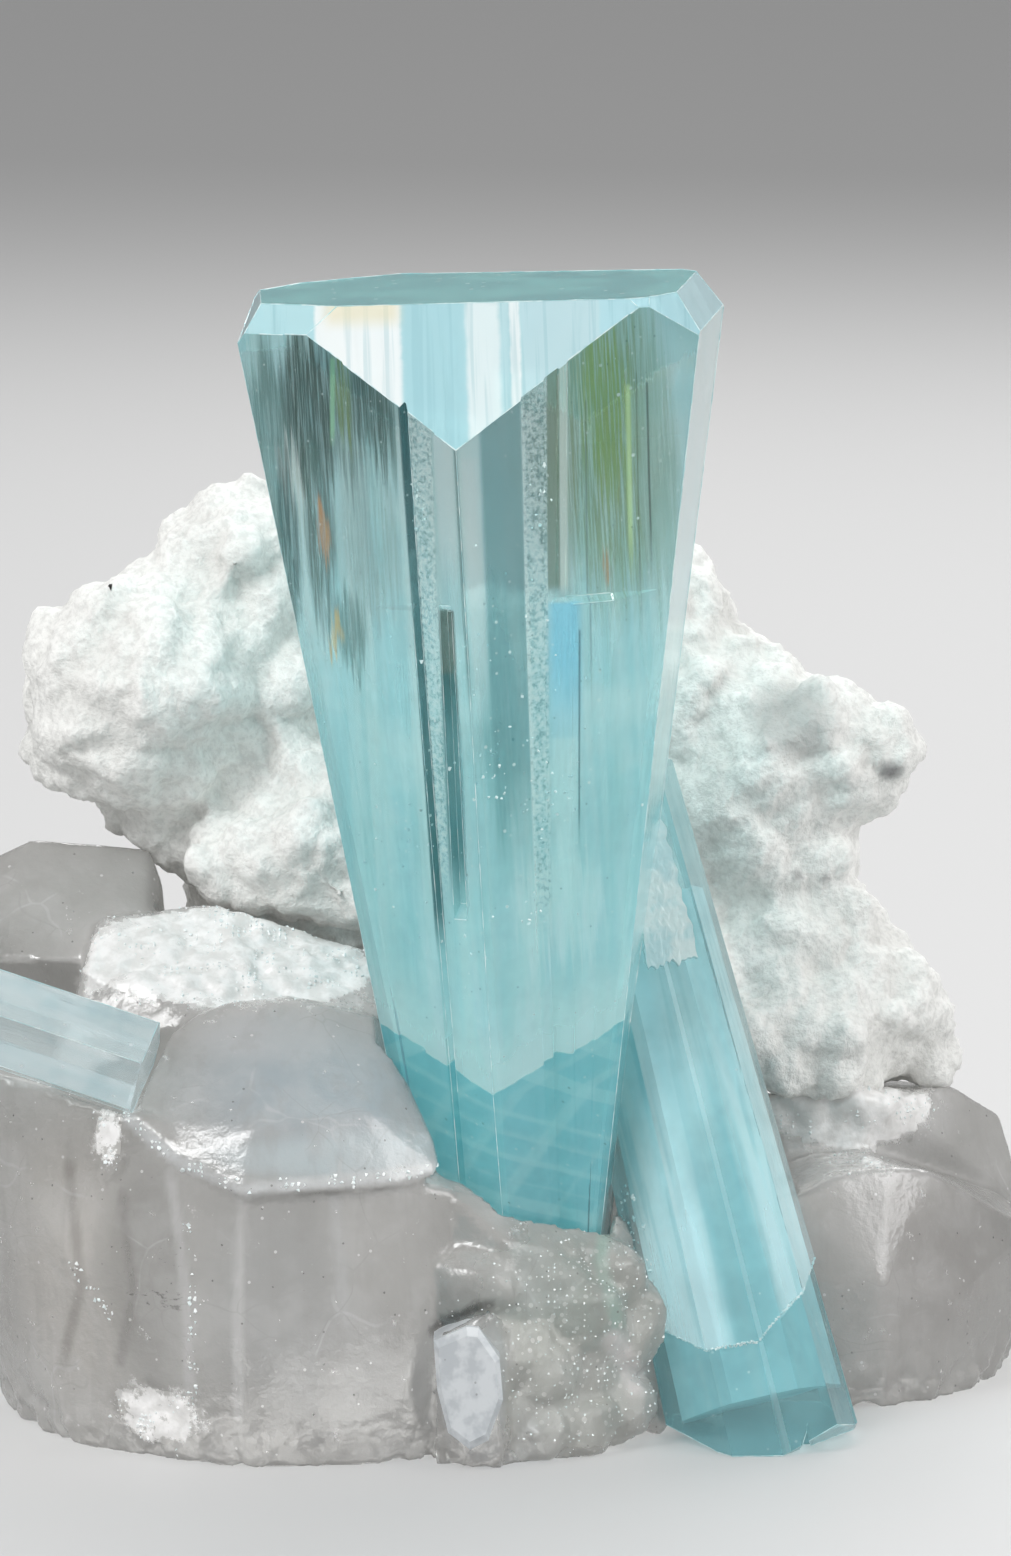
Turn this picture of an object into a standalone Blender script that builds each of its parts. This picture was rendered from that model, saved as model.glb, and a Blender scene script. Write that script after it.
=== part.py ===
"""Aquamarine specimen: flared beryl prisms on quartz, with albite behind.

Lengths are written in millimetres and degrees and turned into metres by mm().
X runs to the right, Y to the back and +Z up. The origin is on the ground under the
middle of the specimen, which stands on the flat undersides of its quartz.
"""
import math
import random

import bmesh
import bpy
from mathutils import Matrix, Vector

MM = 0.001

# ---------------------------------------------------------------- driving dimensions
GROUND_CENTRE = (-0.45, 9.65)   # ground point that becomes the origin
CLEARANCE = 0.35                # gap left between pieces that touch
RAMP = 0.16                     # width of a growth step's wall

# Main crystal: a hexagonal prism that flares upwards
MAIN_AXIS_FOOT = (1.71, -4.0, 0.0)
MAIN_AXIS_TILT = -0.0381        # sideways run of the axis per unit of rise
MAIN_TURN = -96.5               # direction of its front edge
MAIN_FOOT_HEIGHT = 9.0
MAIN_HEAD_HEIGHT = 95.8
MAIN_RADIUS_AT_GROUND = 5.55    # centre to edge
MAIN_FLARE = 0.1759             # gain in radius per unit of height
FRONT_EDGE_BOW = 0.5            # how far the front edge bows to the left
LEDGE_HEIGHT = 71.6             # growth ledge across the right-hand face
CHANNEL_FOOT_HEIGHT = 45.0      # lower end of the channel beside the front edge
UNCUT_HEIGHT = 98.0             # height of the prism before its end faces are cut
HEAD_RELIEF = 0.3               # share of the growth steps' depth left at that height
SOCKET_ROOM = 0.3               # outward room for the bow and the steps in a socket

# Leaning crystal: its free end is at the bottom, its root behind the main crystal
LEAN_END = (21.6, -9.6, 0.3)
LEAN_ROOT = (8.2, 8.4, 53.0)
LEAN_RADIUS = 8.2
LEAN_TAPER = 0.036              # loss of radius per unit of length, towards the root
LEAN_INSET = 0.38               # the old core stands back from the overgrowth

# Small crystal that lies at the left
SMALL_END = (-29.6, -14.2, 32.1)
SMALL_TAIL = (-45.2, -12.0, 37.0)
SMALL_RADIUS = 4.35
SMALL_TURN = -104.0             # direction of its front edge, in degrees

ALBITE_VOXEL = 1.5
ALBITE_TRIANGLES = 4600
SEAT_GAP = 0.5                  # gap between the albite and the quartz it sits on


def mm(x, y, z):
    """A point of the specimen, in metres from the origin on the ground."""
    return Vector((x - GROUND_CENTRE[0], y - GROUND_CENTRE[1], z)) * MM


# ---------------------------------------------------------------- general tools
def clear_scene():
    for item in list(bpy.data.objects):
        bpy.data.objects.remove(item, do_unlink=True)


def material(name, colour, roughness):
    made = bpy.data.materials.new(name)
    made.use_nodes = True
    shader = made.node_tree.nodes["Principled BSDF"]
    shader.inputs["Base Color"].default_value = (*colour, 1.0)
    shader.inputs["Roughness"].default_value = roughness
    shader.inputs["Metallic"].default_value = 0.0
    return made


def add_object(name, bm, finish=None):
    bmesh.ops.recalc_face_normals(bm, faces=bm.faces)
    if bm.calc_volume(signed=True) < 0.0:
        bmesh.ops.reverse_faces(bm, faces=bm.faces)
    mesh = bpy.data.meshes.new(name)
    bm.to_mesh(mesh)
    bm.free()
    made = bpy.data.objects.new(name, mesh)
    bpy.context.collection.objects.link(made)
    if finish:
        mesh.materials.append(finish)
    return made


def settle(item):
    """Turn an object's modifiers into plain mesh."""
    graph = bpy.context.evaluated_depsgraph_get()
    mesh = bpy.data.meshes.new_from_object(item.evaluated_get(graph))
    item.modifiers.clear()
    item.data = mesh
    return item


def combine(item, other, operation):
    """Boolean with another object, which is used up."""
    step = item.modifiers.new(operation.lower(), "BOOLEAN")
    step.operation = operation
    step.solver = "EXACT"
    step.object = other
    settle(item)
    bpy.data.objects.remove(other, do_unlink=True)
    return item


def copy_of(item, name):
    twin = bpy.data.objects.new(name, item.data.copy())
    bpy.context.collection.objects.link(twin)
    return twin


def loft(rings):
    """Closed solid through rings of equal length, lowest ring first."""
    bm = bmesh.new()
    loops = [[bm.verts.new(point) for point in ring] for ring in rings]
    count = len(loops[0])
    for low, high in zip(loops, loops[1:]):
        for i in range(count):
            j = (i + 1) % count
            bm.faces.new((low[i], low[j], high[j], high[i]))
    bm.faces.new(list(reversed(loops[0])))
    bm.faces.new(loops[-1])
    return bm


def cut(bm, point, normal):
    """Take away what lies beyond a plane and close the cut."""
    geometry = bm.verts[:] + bm.edges[:] + bm.faces[:]
    found = bmesh.ops.bisect_plane(bm, geom=geometry, dist=1e-7, plane_co=point,
                                   plane_no=normal, clear_outer=True)
    edges = [part for part in found["geom_cut"] if isinstance(part, bmesh.types.BMEdge)]
    bmesh.ops.holes_fill(bm, edges=edges, sides=0)


def facet(bm, azimuth, slope, reach, height):
    """Termination face over an edge or a side: it passes `reach` from the axis at a height."""
    turn = math.radians(azimuth)
    lean = math.radians(slope)
    out = Vector((math.cos(turn), math.sin(turn), 0.0))
    normal = out * math.sin(lean) + Vector((0.0, 0.0, math.cos(lean)))
    cut(bm, out * reach + Vector((0.0, 0.0, height)), normal)


def prism_frame(origin, along):
    """Axes of a crystal: z along the prism, y to the back, x to the right."""
    up = Vector(along).normalized()
    right = Vector((0.0, 1.0, 0.0)).cross(up).normalized()
    back = up.cross(right)
    turn = Matrix((right, back, up)).transposed().to_4x4()
    return Matrix.Translation(mm(*origin)) @ turn @ Matrix.Scale(MM, 4)


# ---------------------------------------------------------------- main crystal
def main_radius(height):
    return MAIN_RADIUS_AT_GROUND + MAIN_FLARE * height


def main_corners(height, grow):
    radius = main_radius(height) + grow / math.cos(math.radians(30))
    span = MAIN_HEAD_HEIGHT - MAIN_FOOT_HEIGHT
    share = (height - MAIN_FOOT_HEIGHT) / span
    corners = []
    for side in range(6):
        angle = math.radians(MAIN_TURN + 60 * side)
        corners.append(Vector((radius * math.cos(angle), radius * math.sin(angle))))
    corners[0].x -= FRONT_EDGE_BOW * 4 * share * (1 - share)
    return corners


def front_right_steps(share, above_ledge):
    """Distance from the front edge and depth of each break in the right-hand face."""
    def at(foot, head):
        return foot + (head - foot) * share
    ridge = at(4.2, 6.0)
    strip = at(4.9, 8.4)
    steps = [(ridge, 0.0), (ridge + RAMP, 0.32), (strip - RAMP, 0.26), (strip, 0.5)]
    if above_ledge:
        thin = at(5.4, 9.5)
        steps += [(thin, 0.5), (thin + RAMP, 0.2), (at(6.0, 10.3), 0.2)]
        steps += [(at(6.1, 10.5), 0.42), (at(6.5, 15.8), 0.36), (at(6.6, 16.0), 0.22)]
    else:
        plate = at(4.95, 9.0)
        steps += [(plate, 0.48), (at(5.9, 10.6), -0.3), (at(6.0, 10.9), -0.3)]
        steps += [(at(6.1, 11.1), -0.16), (at(6.5, 15.8), -0.2), (at(6.6, 16.0), -0.3)]
    return steps + [(at(6.9, 21.6), 0.0)]


def front_left_steps(share, in_channel):
    """Distance from the front edge and depth of each break in the left-hand face."""
    def at(foot, head):
        return foot + (head - foot) * share
    depth = 0.95 if in_channel else 0.0
    groove = at(3.95, 5.4)
    steps = [(at(1.7, 0.95), 0.0), (at(1.8, 1.05), depth), (at(3.3, 1.95), depth)]
    steps += [(at(3.38, 2.1), 0.1), (groove - 0.5, 0.14), (groove - 0.1, 0.8)]
    steps += [(groove + 0.08, 0.8), (groove + 0.25, 0.0)]
    steps += [(at(5.0, 11.4), 0.0), (at(5.1, 11.6), 0.22), (at(6.2, 17.2), 0.16)]
    return steps + [(at(6.3, 17.4), 0.0), (at(6.9, 21.6), 0.0)]


def hidden_steps(radius, seed):
    """Seeded growth steps for a face that has no feature of its own."""
    chance = random.Random(seed)
    steps = []
    for number in range(3):
        middle = (number + 0.6 + 0.5 * chance.random()) / 3.6
        depth = 0.15 + 0.3 * chance.random()
        width = 0.05 + 0.08 * chance.random()
        steps += [(radius * middle, 0.0), (radius * middle + RAMP, depth)]
        steps += [(radius * (middle + width), depth), (radius * (middle + width) + RAMP, 0.0)]
    return steps


def main_ring(height, above_ledge, in_channel):
    corners = main_corners(height, 0.0)
    share = (height - MAIN_FOOT_HEIGHT) / (MAIN_HEAD_HEIGHT - MAIN_FOOT_HEIGHT)
    relief = HEAD_RELIEF if height == UNCUT_HEIGHT else 1.0
    ring = []
    for side in range(6):
        start = corners[side]
        along = corners[(side + 1) % 6] - start
        length = along.length
        along = along / length
        inward = Vector((-along.y, along.x))
        if side == 0:
            steps = front_right_steps(share, above_ledge)
        elif side == 5:
            steps = [(length - d, depth) for d, depth in front_left_steps(share, in_channel)]
            steps.reverse()
        elif side == 1:
            steps = []
        else:
            steps = hidden_steps(main_radius(height), 40 + side)
        ring.append(start)
        for distance, depth in steps:
            distance = min(max(distance, 0.05), length - 0.05)
            ring.append(start + along * distance + inward * depth * relief)
    return [Vector((point.x, point.y, height)) for point in ring]


def terminate_main(bm, grow):
    """Basal face, the big pyramid face over the front edge, and the smaller ones."""
    top = MAIN_HEAD_HEIGHT + grow
    cut(bm, Vector((0.0, 0.0, top)), Vector((0.0, 0.0, 1.0)))
    faces = [
        (-97.0, 57.5, 20.15, 85.1),     # over the front edge
        (-126.5, 42.0, 19.08, 93.6),    # bevel above the left face
        (-36.5, 54.0, 21.75, 92.5),     # over the right-hand edge
        (-6.5, 58.0, 19.0, 92.6),       # bevel above the narrow right face
        (-66.5, 40.0, 19.3, 95.05),     # bevel above the right face
        (182.0, 56.0, 20.25, 92.9),     # over the left-hand edge
        (26.0, 47.0, 18.6, 95.8),       # the rest are at the back
        (77.0, 49.0, 11.8, 95.8),
        (121.0, 42.0, 15.4, 95.8),
        (146.0, 52.0, 21.3, 91.0),
    ]
    for azimuth, slope, reach, height in faces:
        facet(bm, azimuth, slope, reach + grow, height + grow)


def main_crystal():
    ledge = LEDGE_HEIGHT
    channel = CHANNEL_FOOT_HEIGHT
    levels = [(MAIN_FOOT_HEIGHT, False, False), (30.0, False, False)]
    levels += [(channel, False, False), (channel + 1.2, False, True), (ledge - 0.6, False, True)]
    levels += [(ledge, True, False), (UNCUT_HEIGHT, True, False)]
    bm = loft([main_ring(*level) for level in levels])
    terminate_main(bm, 0.0)
    bm.transform(prism_frame(MAIN_AXIS_FOOT, (MAIN_AXIS_TILT, 0.0, 1.0)))
    return bm


def main_envelope(grow):
    """Plain prism around the main crystal, for cutting its socket."""
    rings = []
    for height in (MAIN_FOOT_HEIGHT - grow, CHANNEL_FOOT_HEIGHT, UNCUT_HEIGHT):
        corners = main_corners(height, grow + SOCKET_ROOM)
        rings.append([Vector((corner.x, corner.y, height)) for corner in corners])
    bm = loft(rings)
    terminate_main(bm, grow)
    bm.transform(prism_frame(MAIN_AXIS_FOOT, (MAIN_AXIS_TILT, 0.0, 1.0)))
    return bm


# ---------------------------------------------------------------- leaning crystal
LEAN_OUTLINE = (                 # corners in units of the radius, from the left one
    (-1.0, -0.24), (-0.36, -0.93), (0.2, -0.86), (0.25, -0.82), (0.78, -0.70),
    (0.985, 0.06), (0.55, 0.84), (-0.48, 0.82),
)
LEAN_SEAM = (11.6, 7.2, 7.0, 7.1, 10.2, 13.4, 12.0, 11.0)   # end of the overgrowth
LEAN_UNCUT = -6.0                # how far the prism runs past its end before that is cut
CORNER_GROWTH = 1.2              # a corner moves further out than the faces beside it


def lean_length():
    return (Vector(LEAN_ROOT) - Vector(LEAN_END)).length


def lean_ring(height, grow, inset=0.0):
    radius = LEAN_RADIUS - LEAN_TAPER * height + grow * CORNER_GROWTH
    ring = []
    for x, y in LEAN_OUTLINE:
        reach = radius - inset / math.hypot(x, y)
        ring.append(Vector((x * reach, y * reach, height)))
    return ring


def lean_crystal():
    seam_outer = []
    seam_inner = []
    for corner, height in enumerate(LEAN_SEAM):
        seam_outer.append(lean_ring(height, 0.0)[corner])
        seam_inner.append(lean_ring(height - RAMP, 0.0, LEAN_INSET)[corner])
    rings = [lean_ring(LEAN_UNCUT, 0.0, LEAN_INSET), seam_inner, seam_outer]
    rings.append(lean_ring(lean_length(), 0.0))
    bm = loft(rings)
    bm.transform(lean_frame())
    end_lean(bm, 0.0)
    return bm


def chip_lean(crystal):
    """Small notch in the front of the free end's lower rim."""
    points = [(x, y, z) for x, z in ((24.1, -0.5), (25.5, -0.5), (24.9, 1.9))
              for y in (-20.0, -13.4)]
    combine(crystal, add_object("notch", block(points)), "DIFFERENCE")
    return crystal


def lean_frame():
    return prism_frame(LEAN_END, Vector(LEAN_ROOT) - Vector(LEAN_END))


def end_lean(bm, grow):
    """The free end: an uneven broken face with small bevels."""
    low = 0.25 - grow
    cut(bm, mm(20.6, -14.0, low), Vector((0.0, 0.05, -1.0)).normalized())
    cut(bm, mm(28.6, -10.0, 0.8 - grow), Vector((0.6, -0.4, -0.9)).normalized())
    cut(bm, mm(30.2, -7.0, 2.2 - grow), Vector((0.9, -0.2, -0.35)).normalized())
    cut(bm, mm(15.0, -14.0, 1.2 - grow), Vector((-0.5, -0.2, -0.9)).normalized())


def lean_envelope(grow):
    rings = [lean_ring(LEAN_UNCUT, grow), lean_ring(lean_length() + grow, grow)]
    bm = loft(rings)
    bm.transform(lean_frame())
    end_lean(bm, grow)
    return bm


# ---------------------------------------------------------------- small crystal
def small_ring(height, grow):
    radius = SMALL_RADIUS + grow * CORNER_GROWTH
    ring = []
    for side in range(6):
        angle = math.radians(SMALL_TURN + 60 * side)
        ring.append(Vector((radius * math.cos(angle), radius * math.sin(angle), height)))
    return ring


def small_crystal(grow):
    along = Vector(SMALL_END) - Vector(SMALL_TAIL)
    length = along.length
    bm = loft([small_ring(-grow, grow), small_ring(length + grow, grow)])
    facet(bm, -70.0, 38.0, SMALL_RADIUS * 0.8 + grow, length + grow)
    facet(bm, 150.0, 52.0, SMALL_RADIUS * 0.75 + grow, length + grow)
    facet(bm, 40.0, 30.0, SMALL_RADIUS * 0.9 + grow, length - 0.6 + grow)
    bm.transform(prism_frame(SMALL_TAIL, along))
    return bm


# ---------------------------------------------------------------- quartz
QUARTZ_BLOCKS = {
    "front_left": (
        (-42.5, 5, 0), (-40.5, -3, 0), (-36, -12, 0), (-29.5, -16.5, 0), (-21.5, -21, 0),
        (-12, -20, 0), (-7, -18, 0), (-4, -6, 0), (-10, 14, 0), (-38, 16, 0),
        (-45.5, -2, 14), (-45, 4, 6), (-36.5, -15, 17), (-26, -20, 14), (-21.5, -21.8, 8),
        (-8, -19.3, 6), (-45.5, -7, 31), (-37, -13, 30), (-31, -16, 29), (-26.5, -18.5, 25.5),
        (-21.5, -20.2, 23), (-9, -17.2, 23.3), (-4.4, -15, 22), (-4, -4, 22), (-12, 10, 26),
        (-44, 12, 32)),
    "bluish": (
        (-31, -15.1, 28), (-27, -18.6, 25.3), (-21.5, -21.2, 22.6), (-15, -20.0, 22.8),
        (-9, -18.2, 22.9), (-5.4, -15.6, 23.6), (-27.8, -10, 34), (-25.6, -9, 35.7),
        (-23.2, -8, 36.4), (-19.5, -8, 36.9), (-15.6, -8, 36.4), (-10.5, -7, 35),
        (-27.7, -17, 27), (-20.5, -19.0, 27.8), (-16.8, -18.3, 28.3), (-11.4, -16, 28.7),
        (-8.6, -12.6, 29.8), (-6, -13.8, 26), (-24, 6, 34), (-12, 6, 34), (-24, 6, 24),
        (-6, 0, 24)),
    "front_small": (
        (-5.8, -19, 0), (-3.3, -21.8, 0), (-0.6, -21.6, 0), (0.6, -18.5, 0), (-6.1, -19.6, 10.6),
        (-3.5, -21.6, 11.2), (-1.2, -20.6, 13.4), (0, -19, 12), (-3.4, -22, 4), (-0.4, -21.9, 5)),
    "middle": (
        (-6, -17.5, 0), (0, -19.6, 0), (6, -17, 0), (10, -11, 0), (13, -5, 0), (14, 10, 0),
        (-5, 10, 0), (-5, -14.5, 22), (-0.5, -16.5, 18.2), (4.5, -14.5, 16.8), (9, -10.5, 16.8),
        (11.5, -6, 15.5), (15, 2, 17), (14, 12, 22), (-4, 10, 24), (3, -18.2, 9), (9, -14, 8)),
    "right": (
        (28, 2, 0), (32, 2.4, 0), (36, 5, 0), (40, 10, 0), (43.6, 22, 0), (41, 35, 0),
        (18, 35, 0), (16, 6, 0), (25.5, 0.5, 11), (31.6, 0.2, 11), (38, 5.5, 8.5), (45.6, 17, 7),
        (24.6, 2, 18.3), (28, 3.6, 19.8), (32.5, 5.6, 20.1), (36, 8, 19.2), (38.5, 12, 16),
        (45, 16.5, 12.6), (45.6, 30, 12), (22, 30, 20)),
    "right_shoulder": (
        (26, 12, 10), (22, 14, 24.5), (32, 13.5, 24.6), (38.5, 22, 24), (42.8, 26, 20.8),
        (45, 25, 13), (44, 38, 12), (26, 41, 22), (37, 40, 20), (22, 34, 8)),
    "back_left": (
        (-45.8, 14, 44.2), (-40.4, 14, 46.7), (-34.5, 14, 46.3), (-30.3, 15, 45.7),
        (-29.2, 14, 43), (-44.5, 5, 38), (-31, 4, 38), (-46, 12, 30), (-28, 10, 28),
        (-44, 24, 42), (-31, 25, 44), (-42, 27, 24), (-28, 27, 24)),
    "ridge": (
        (-34.2, 5, 41.4), (-25.8, 7, 42.3), (-19.8, 5, 40.9), (-14.8, 4, 39.8), (-10, 6, 38),
        (-9.6, -3, 34), (-25.4, -6.5, 35.3), (-34.8, -1, 38.6), (-38, -6, 30), (-12, -8, 26),
        (-34, 18, 38), (-10, 18, 36), (-36, 16, 24), (-8, 16, 22)),
    "back": (
        (-38, 14, 0), (-34, 32, 0), (-12, 42, 0), (16, 42, 0), (24, 30, 0), (16, 6, 0),
        (-10, 6, 0), (-40, 18, 24), (-30, 36, 22), (-10, 43.6, 14), (14, 43.6, 12),
        (22, 34, 24), (0, 36, 30), (-26, 28, 32), (18, 10, 24), (-8, 8, 26)),
}

BUMP_SEED = 70
GROUND_BLOCK = 0.2               # metres: the block that cuts the undersides flat
QUARTZ_BUMPS = (                 # centre and radius of the drusy lumps along the front
    (-1.0, -16.4, 2.4, 3.4), (2.8, -16.6, 2.4, 3.2), (6.4, -14.4, 2.4, 3.3), (9.4, -11.2, 3.0, 3.4),
    (11.6, -7.2, 3.2, 3.6), (13.2, -2.6, 4.2, 3.8), (2.2, -15.6, 7.4, 4.2), (6.0, -13.2, 11.0, 4.4),
    (9.8, -9.2, 9.6, 4.4), (3.8, -13.4, 13.6, 3.8), (8.4, -10.6, 13.8, 3.4),
    (-2.2, -15.0, 14.0, 4.2), (12.4, -3.8, 10.6, 4.4), (-1.0, -15.8, 8.6, 4.4),
)


def block(points):
    """Convex crystal through a set of corners."""
    bm = bmesh.new()
    for point in points:
        bm.verts.new(mm(*point))
    found = bmesh.ops.convex_hull(bm, input=bm.verts[:])
    spare = {part for part in found["geom_interior"] + found["geom_unused"]
             if isinstance(part, bmesh.types.BMVert) and part.is_valid}
    bmesh.ops.delete(bm, geom=list(spare), context="VERTS")
    return bm


def bump(centre, radius, seed):
    """Small angular lump."""
    chance = random.Random(seed)
    bm = bmesh.new()
    bmesh.ops.create_icosphere(bm, subdivisions=2, radius=radius * MM)
    for vert in bm.verts:
        vert.co *= 0.86 + 0.24 * chance.random()
        vert.co.z *= 0.94
    bmesh.ops.translate(bm, verts=bm.verts[:], vec=mm(*centre))
    return bm


def quartz_cluster(finish):
    cluster = None
    for name, points in QUARTZ_BLOCKS.items():
        piece = add_object("quartz_" + name, block(points))
        cluster = combine(cluster, piece, "UNION") if cluster else piece
    for number, (x, y, z, radius) in enumerate(QUARTZ_BUMPS):
        piece = add_object("bump", bump((x, y, z), radius, BUMP_SEED + number))
        combine(cluster, piece, "UNION")
    below = bmesh.new()
    bmesh.ops.create_cube(below, size=GROUND_BLOCK)
    bmesh.ops.translate(below, verts=below.verts[:], vec=Vector((0.0, 0.0, -GROUND_BLOCK / 2)))
    combine(cluster, add_object("ground", below), "DIFFERENCE")
    cluster.name = "quartz_cluster"
    cluster.data.materials.clear()
    cluster.data.materials.append(finish)
    return cluster


# ---------------------------------------------------------------- albite
ALBITE_LOBES = (                 # centre and radius of the main lobes
    (-31, 16, 59, 10.2), (-22.5, 22, 67.5, 8.4), (-24, 20, 60, 9.0), (-14, 27, 66, 9.0),
    (-5, 31, 62, 10.0), (5, 32, 60, 9.5), (12.5, 30, 63.2, 7.4), (18, 27, 56, 7.4),
    (25, 22, 55, 5.2), (30, 22, 53.2, 5.4), (21, 22, 50, 6.4), (23.5, 25, 43, 7.4),
    (25, 24, 35, 8.2), (31, 23, 31, 6.6), (34.4, 24, 27.6, 4.6), (0, 30, 46, 12.0),
    (-14, 27, 50, 11.0), (13, 28, 44, 10.0), (0, 28, 34, 11.0), (-19, 24, 42, 8.5),
    (15, 22, 32, 8.5), (27, 17, 28.5, 5.2), (22, 15, 29, 4.6), (-24, 12, 44.6, 3.4),
    (-20, 10, 46, 3.6), (-16.4, 9, 46.8, 4.4), (-19, 9, 43, 3.2), (-14, 9, 43, 3.6),
    (-30, 18, 48, 4.0), (-16, 14, 50, 5.0),
)


def albite_mass(finish):
    """Lobes with seeded knobs on them, merged into one lumpy skin."""
    chance = random.Random(11)
    bm = bmesh.new()
    for x, y, z, radius in ALBITE_LOBES:
        place = Matrix.Translation(mm(x, y, z))
        bmesh.ops.create_icosphere(bm, subdivisions=3, radius=radius * MM, matrix=place)
        for _ in range(int(4 + radius * 2.2)):
            way = Vector((chance.gauss(0, 1), chance.gauss(0, 1), chance.gauss(0, 1))).normalized()
            knob = (0.16 + 0.2 * chance.random()) * min(radius, 8.0)
            spot = Vector((x, y, z)) + way * (radius - knob * 0.35)
            bmesh.ops.create_icosphere(bm, subdivisions=2, radius=knob * MM,
                                       matrix=Matrix.Translation(mm(*spot)))
    mass = add_object("albite_matrix", bm, finish)
    skin = mass.modifiers.new("skin", "REMESH")
    skin.mode = "VOXEL"
    skin.voxel_size = ALBITE_VOXEL * MM
    settle(mass)
    keep_largest(mass)
    thin = mass.modifiers.new("thin", "DECIMATE")
    count = sum(len(face.vertices) - 2 for face in mass.data.polygons)
    thin.ratio = min(1.0, ALBITE_TRIANGLES / count)
    settle(mass)
    return mass


def keep_largest(item):
    """Drop every loose shell but the largest."""
    bm = bmesh.new()
    bm.from_mesh(item.data)
    waiting = set(bm.verts)
    shells = []
    while waiting:
        shell = {waiting.pop()}
        border = list(shell)
        while border:
            for edge in border.pop().link_edges:
                for vert in edge.verts:
                    if vert in waiting:
                        waiting.remove(vert)
                        shell.add(vert)
                        border.append(vert)
        shells.append(shell)
    shells.sort(key=len)
    for shell in shells[:-1]:
        bmesh.ops.delete(bm, geom=list(shell), context="VERTS")
    bm.to_mesh(item.data)
    bm.free()


# ---------------------------------------------------------------- assembly
def main():
    clear_scene()
    beryl = material("aquamarine", (0.38, 0.70, 0.74), 0.08)
    pale = material("aquamarine_pale", (0.62, 0.76, 0.77), 0.12)
    quartz = material("quartz", (0.62, 0.62, 0.60), 0.25)
    albite = material("albite", (0.86, 0.86, 0.83), 0.8)

    pair = add_object("aquamarine_pair", main_crystal(), beryl)
    combine(pair, chip_lean(add_object("leaning", lean_crystal())), "UNION")
    add_object("aquamarine_left", small_crystal(0.0), pale)

    cluster = quartz_cluster(quartz)
    combine(cluster, add_object("socket", main_envelope(CLEARANCE)), "DIFFERENCE")
    combine(cluster, add_object("socket", lean_envelope(CLEARANCE)), "DIFFERENCE")
    combine(cluster, add_object("socket", small_crystal(CLEARANCE)), "DIFFERENCE")
    keep_largest(cluster)

    mass = albite_mass(albite)
    combine(mass, add_object("socket", main_envelope(CLEARANCE)), "DIFFERENCE")
    combine(mass, add_object("socket", lean_envelope(CLEARANCE)), "DIFFERENCE")
    seat = copy_of(cluster, "seat")
    swell = seat.modifiers.new("swell", "DISPLACE")
    swell.strength = SEAT_GAP * MM
    swell.mid_level = 0.0
    settle(seat)
    combine(mass, seat, "DIFFERENCE")
    keep_largest(mass)


main()
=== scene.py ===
"""Looks of the aquamarine specimen: crystals, quartz and albite with their finishes.

Places are written in millimetres in the specimen's own frame, as the solids are, and
turned into metres by mm(). X runs to the right, Y to the back and +Z up.
"""
import math
import random

import bmesh
import bpy
import numpy as np
from mathutils import Matrix, Vector, noise


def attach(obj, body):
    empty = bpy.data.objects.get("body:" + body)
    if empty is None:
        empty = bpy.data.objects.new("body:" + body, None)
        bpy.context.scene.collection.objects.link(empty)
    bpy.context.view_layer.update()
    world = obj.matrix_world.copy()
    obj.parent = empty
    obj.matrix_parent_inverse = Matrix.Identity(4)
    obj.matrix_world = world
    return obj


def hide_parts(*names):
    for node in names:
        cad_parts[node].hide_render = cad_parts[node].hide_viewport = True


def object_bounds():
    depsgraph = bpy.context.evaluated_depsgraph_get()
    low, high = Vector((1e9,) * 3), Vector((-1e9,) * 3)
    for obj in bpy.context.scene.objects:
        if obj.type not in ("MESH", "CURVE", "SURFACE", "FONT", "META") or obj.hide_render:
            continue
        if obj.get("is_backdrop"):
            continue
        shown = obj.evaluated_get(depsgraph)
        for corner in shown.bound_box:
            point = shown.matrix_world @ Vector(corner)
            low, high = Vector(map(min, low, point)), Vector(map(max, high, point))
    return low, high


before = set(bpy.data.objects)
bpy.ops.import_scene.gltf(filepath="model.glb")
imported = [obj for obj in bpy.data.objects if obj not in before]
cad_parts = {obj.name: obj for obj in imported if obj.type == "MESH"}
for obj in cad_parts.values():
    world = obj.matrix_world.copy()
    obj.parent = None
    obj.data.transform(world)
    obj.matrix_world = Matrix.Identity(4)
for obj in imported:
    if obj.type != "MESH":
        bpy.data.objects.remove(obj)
CAD_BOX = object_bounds()

# ---------------------------------------------------------------- sizes and places
MM = 0.001
GROUND_CENTRE = (-0.45, 9.65)         # ground point under the middle of the specimen

MAIN_TURN = -96.5                     # direction of the main crystal's front edge, in degrees
MAIN_RADIUS_AT_GROUND = 5.55
MAIN_FLARE = 0.1759
HEAD_FROM = 84.0                      # height at which the main crystal's head may start
LEAN_END = (21.6, -9.6, 0.3)          # the leaning crystal's free end
LEAN_ROOT = (8.2, 8.4, 53.0)
LEAN_WAY = Vector(LEAN_ROOT) - Vector(LEAN_END)
LEAN_RADIUS = 8.2
LEAN_TAPER = 0.036
LEAN_TURN = -110.0
LEAN_SEAM = (                         # bearing round the crystal and height of the seam there
    (3.5, 13.4), (56.8, 12.0), (120.3, 11.0), (193.5, 11.6), (248.8, 7.2), (283.1, 7.0),
    (318.1, 10.2),
)
SMALL_END = (-29.6, -14.2, 32.1)      # the crystal lying at the left
SMALL_TAIL = (-45.2, -12.0, 37.0)

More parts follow.
